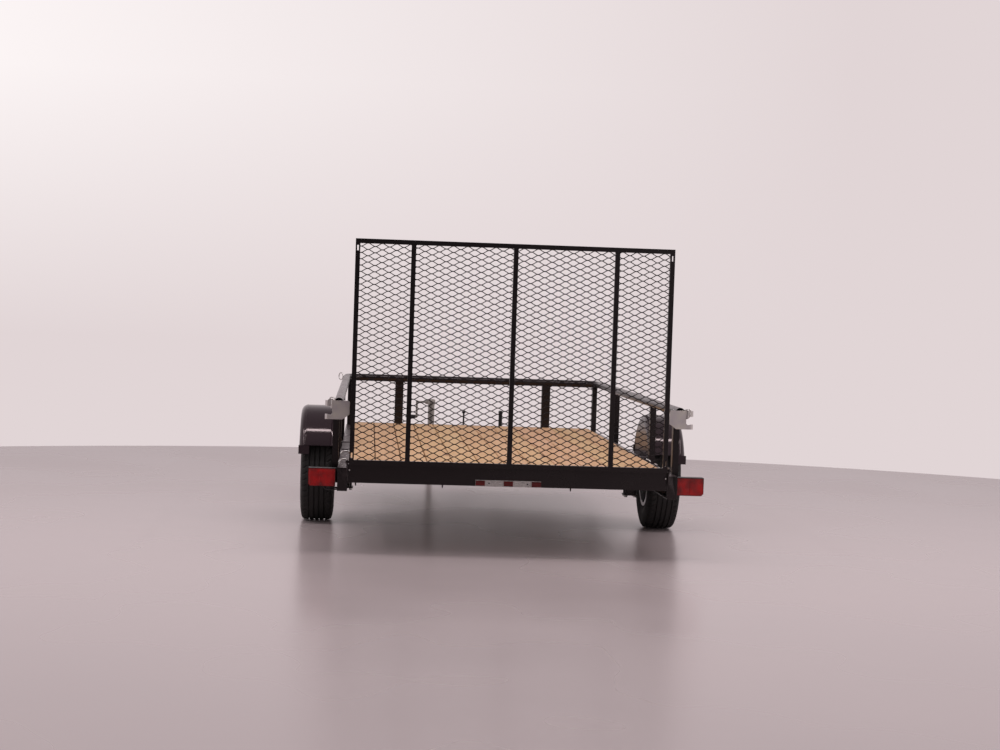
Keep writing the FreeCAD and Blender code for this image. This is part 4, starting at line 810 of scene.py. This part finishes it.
screw_rows = [56.0, *(BED_LENGTH / 9 * (i + 1) for i in range(8)), 3590.0]
spots = np.array([(BOARD_PITCH * (k - (BOARDS - 1) / 2) + off, y, DECK_TOP)
                  for y in screw_rows for k in range(BOARDS) for off in (-42, 42)])
head = stem(DECK_SCREW, (0, 0, 0), (0, 0, 1), 10) - np.array([0.0, REAR, 0.0])
screws = Form().grid(head, spots=placed(spots))
screws.piece("deck_screws", "trailer", bright, "bright_steel", sharp=40)

# Fender edges: a rolled edge at each end and a seam along the outer shoulder
FENDER_IN, FENDER_OUT, FENDER_RADIUS, SHOULDER = 950, 1173, 378, 40
near, far, base = FENDER_IN + SHOULDER, FENDER_OUT - SHOULDER, FENDER_RADIUS - SHOULDER
turn = np.linspace(0, np.pi / 2, 7)[1:-1]
shoulder_out = np.c_[far + SHOULDER * np.cos(turn), base + SHOULDER * np.sin(turn)]
shoulder_in = np.c_[near - SHOULDER * np.sin(turn), base + SHOULDER * np.cos(turn)]
line = np.concatenate([[(FENDER_OUT, 309), (FENDER_OUT, base)], shoulder_out,
                       [(far, FENDER_RADIUS), (near, FENDER_RADIUS)], shoulder_in,
                       [(FENDER_IN, base), (FENDER_IN, 322)]])
lean = math.radians(66.2)
arc = np.linspace(-1, 1, 61) * math.radians(66.0)
seam_radius = FENDER_RADIUS - 0.6
edges = Form()
for side, _ in SIDES:
    for end in (-1, 1):
        path = np.c_[side * line[:, 0], WHEEL_Y + end * line[:, 1] * math.sin(lean),
                     WHEEL_Z + line[:, 1] * math.cos(lean)]
        edges.grid(placed(hose(path, 2.6, 70, 10)))
    path = np.c_[np.full(len(arc), side * (far + 3.0)), WHEEL_Y + seam_radius * np.sin(arc),
                 WHEEL_Z + seam_radius * np.cos(arc)]
    edges.grid(placed(hose(path, 2.6, 120, 10)))
edges.piece("fender_rolled_edges", "trailer", gloss_paint_and_painted_reflection, "black_paint")

# Rope hooks on the rail: x, then y and z counted from the hook's middle and the rail's top
HOOK = ((918, -14, -3), (917, -10, 8), (906, 6, 12), (885, 12, 12), (873, 8, 8), (871, 6, -3))
hooks = Form()
for side, _ in SIDES:
    for middle in (380, 975):
        path = [(side * x, middle + y, RAIL_TOP + z) for x, y, z in HOOK]
        hooks.grid(placed(hose(path, 4.6, 40, 12)))
hooks.piece("rail_rope_hooks", "trailer", bright, "bright_steel")

# Strap plate on the right rail
PLATE_X, PLATE_Y, PLATE_THICK = 895, 730, 4.0
strap = Form()
outline = rounded(60, 26, 4) + [PLATE_X, PLATE_Y]
strap.grid(placed(np.stack([np.c_[outline, np.full(len(outline), RAIL_TOP + lift)]
                            for lift in (0.1, PLATE_THICK)])))
for x in (PLATE_X - 17, PLATE_X + 17):
    nut = stem([(0, 7.5), (4.6, 7.5), (5.6, 6.4)], (x, PLATE_Y, RAIL_TOP + PLATE_THICK), (0, 0, 1), 6)
    strap.grid(nut)
strap.piece("rail_strap_plate", "trailer", bright, "bright_steel", sharp=30)

# Clips at the latch plates and a ring on the front rail


def ring(centre, radius, wire, axis):
    """Closed wire ring: a small circle turned about an axis through the centre."""
    return placed(turned(circle(wire, 10) + [0, radius], centre, unit(np.array(axis)), 40))


RINGS = (  # centre, radius, wire, axis
    ((958, -6, TUBE_Z - 8), 24, 2.6, (0.75, 0.66, 0.0)),
    ((-959, -2, TUBE_Z + 16), 14, 2.8, (0.2, 0.75, 0.6)),
    ((-967, 3500, TUBE_Z + 8), 25, 3.2, (0.8, 0.6, 0.0)),
)
clips = Form()
for centre, radius, wire, axis in RINGS:
    clips.grid(ring(centre, radius, wire, axis), loop=True)
for side, _ in SIDES:
    clips.grid(stem([(0, 3.0), (2, 4.0), (44, 4.0), (46, 3.0)], (side * 964, -7, TUBE_Z - 32), (0, 0, 1), 14))
clips.piece("gate_clip_rings", "trailer", bright, "bright_steel")

# The black sleeve on the crank's handle, square to the left tongue rail
jack_turn = math.radians(25)
outward = np.array([-math.cos(jack_turn), math.sin(jack_turn), 0.0])
crank_reach, handle_radius = 228.5, 11.0
handle = np.array([-180.1, 4468.0, box("jack_crank")[0][2] + handle_radius]) + outward * crank_reach
sleeve = Form().grid(stem([(0, 11.4), (1.4, 12.7), (83, 12.7), (85.2, 11.6)], handle, outward, 28))
sleeve.piece("crank_grip_sleeve", "jack", cable, "black_plastic")

# Valve stems
VALVE = [(-2, 7.5), (3, 7.5), (6, 4.2), (20, 3.8), (21, 4.6), (30, 4.6), (31, 3.6)]
valve_turn = math.radians(54)
around = np.array([0.0, math.cos(valve_turn), math.sin(valve_turn)])
for side, name in SIDES:
    root = np.array([side * (WHEEL_X + 62), WHEEL_Y, WHEEL_Z]) + around * 174
    lean = unit(np.array([side * 0.8, 0, 0]) - around * 0.6)
    valve = Form().grid(stem(VALVE, root, lean, 18))
    valve.piece("valve_stem_" + name, "wheel_" + name, cable, "tyre")

# Floor


def floor_disc():
    """Flat oval floor, its middle set back toward the camera."""
    mesh = bpy.data.meshes.new("studio_floor")
    count = 220
    edge = circle(1.0, count) * [7.5, 6.6] - [0.0, 1.6]
    mesh.from_pydata(np.c_[edge, np.full(count, GROUND)], [], [list(range(count))])
    made = bpy.data.objects.new("studio_floor", mesh)
    bpy.context.scene.collection.objects.link(made)
    material, tree, place = blank("floor_resin_poured")
    blot = noise(tree, place, 1400, 2, 0.45)
    colour = mix(tree, span(tree, blot, 0.3, 0.7), linear("#a89e9f"), linear("#aea4a5"))
    close(tree, {"Base Color": colour, "Roughness": span(tree, blot, 0.3, 0.7, 0.24, 0.3), "IOR": 1.5})
    mesh.materials.append(material)


floor_disc()

# Room and lamps


def studio_world():
    """Pale room. The wall that the camera sees is brightest up on the left. What shines back is darker
    behind the camera than ahead and level, less so on the right, and darker overhead too."""
    world = bpy.data.worlds.new("studio")
    bpy.context.scene.world = world
    world.use_nodes = True
    tree = world.node_tree
    tree.nodes.clear()
    rays = add(tree, "LightPath").outputs
    toward = add(tree, "SeparateXYZ", {"Vector": add(tree, "TexCoord").outputs["Generated"]}).outputs
    rightward = calculate(tree, "MULTIPLY", calculate(tree, "MAXIMUM", toward["X"], 0.0), 1.8)
    heading = calculate(tree, "ADD", toward["Y"], rightward)
    behind = span(tree, heading, -0.9, -0.05, 0.82, 0.0)
    overhead = span(tree, toward["Z"], 0.45, 0.85, 0.0, 0.5)
    gloss = calculate(tree, "MULTIPLY", rays["Is Glossy Ray"], calculate(tree, "MAXIMUM", behind, overhead))
    strength = calculate(tree, "SUBTRACT", 0.90, gloss)
    room = add(tree, "Background", {"Color": linear("#e8dcde"), "Strength": strength})
    upper_left = calculate(tree, "MULTIPLY", span(tree, toward["X"], 0.25, -0.2),
                           span(tree, toward["Z"], -0.02, 0.12))
    wall_colour = mix(tree, upper_left, linear("#e1d5d6"), linear("#fcf5f5"))
    wall = add(tree, "Background", {"Color": wall_colour, "Strength": 1.0})
    seen = calculate(tree, "MAXIMUM", rays["Is Camera Ray"], rays["Is Transmission Ray"])
    both = add(tree, "MixShader", {0: seen, 1: room.outputs[0], 2: wall.outputs[0]})
    add(tree, "OutputWorld", {"Surface": both.outputs[0]})


studio_world()


def lamp(name, power, size, spot, aim):
    """Soft lamp of a width and depth, turned to its aim."""
    data = bpy.data.lights.new(name, "AREA")
    data.energy, data.shape, data.color = power, "RECTANGLE", linear("#f6ecec")[:3]
    data.size, data.size_y = size
    made = bpy.data.objects.new(name, data)
    bpy.context.scene.collection.objects.link(made)
    made.location = spot
    made.rotation_euler = (Vector(aim) - Vector(spot)).to_track_quat("-Z", "Y").to_euler()
    made.visible_camera = False


CEILING = 5.2
lamp("ceiling", 140, (7.0, 0.4), (0.0, -2.4, CEILING), (0, -2.4, 0))
lamp("ceiling_left", 60, (0.3, 4.0), (-4.8, -3.2, CEILING), (-4.8, -3.2, 0))
lamp("ceiling_right", 60, (0.3, 4.0), (4.8, -3.2, CEILING), (4.8, -3.2, 0))
lamp("rear_fill", 50, (4.0, 3.0), (5.5, -9.5, 2.2), (0, -2, 0.6))

# The camera stands 9.9 m behind the frame, 1.33 m up, looking a little down and to the right
CAMERA_X, CAMERA_BACK, CAMERA_Z = -0.7757, 9.9229, 1.3276
PITCH, YAW, ROLL = -0.0345863, 0.0716030, 0.0336520
SENSOR_MM, FOCAL_MM = 36.0, 66.4906
ahead = np.array([math.sin(YAW) * math.cos(PITCH), math.cos(YAW) * math.cos(PITCH), math.sin(PITCH)])
level = np.array([math.cos(YAW), -math.sin(YAW), 0.0])
above = np.cross(level, ahead)
right = math.cos(ROLL) * level + math.sin(ROLL) * above
up = -math.sin(ROLL) * level + math.cos(ROLL) * above
optics = bpy.data.cameras.new("view")
optics.sensor_fit, optics.sensor_width, optics.lens = "HORIZONTAL", SENSOR_MM, FOCAL_MM
camera = bpy.data.objects.new("view", optics)
bpy.context.scene.collection.objects.link(camera)
facing = Matrix([right, up, -ahead]).transposed().to_4x4()
camera.matrix_world = Matrix.Translation((CAMERA_X, REAR - CAMERA_BACK, CAMERA_Z)) @ facing
bpy.context.scene.camera = camera
bpy.context.scene.view_settings.view_transform = "Standard"

bpy.context.view_layer.update()
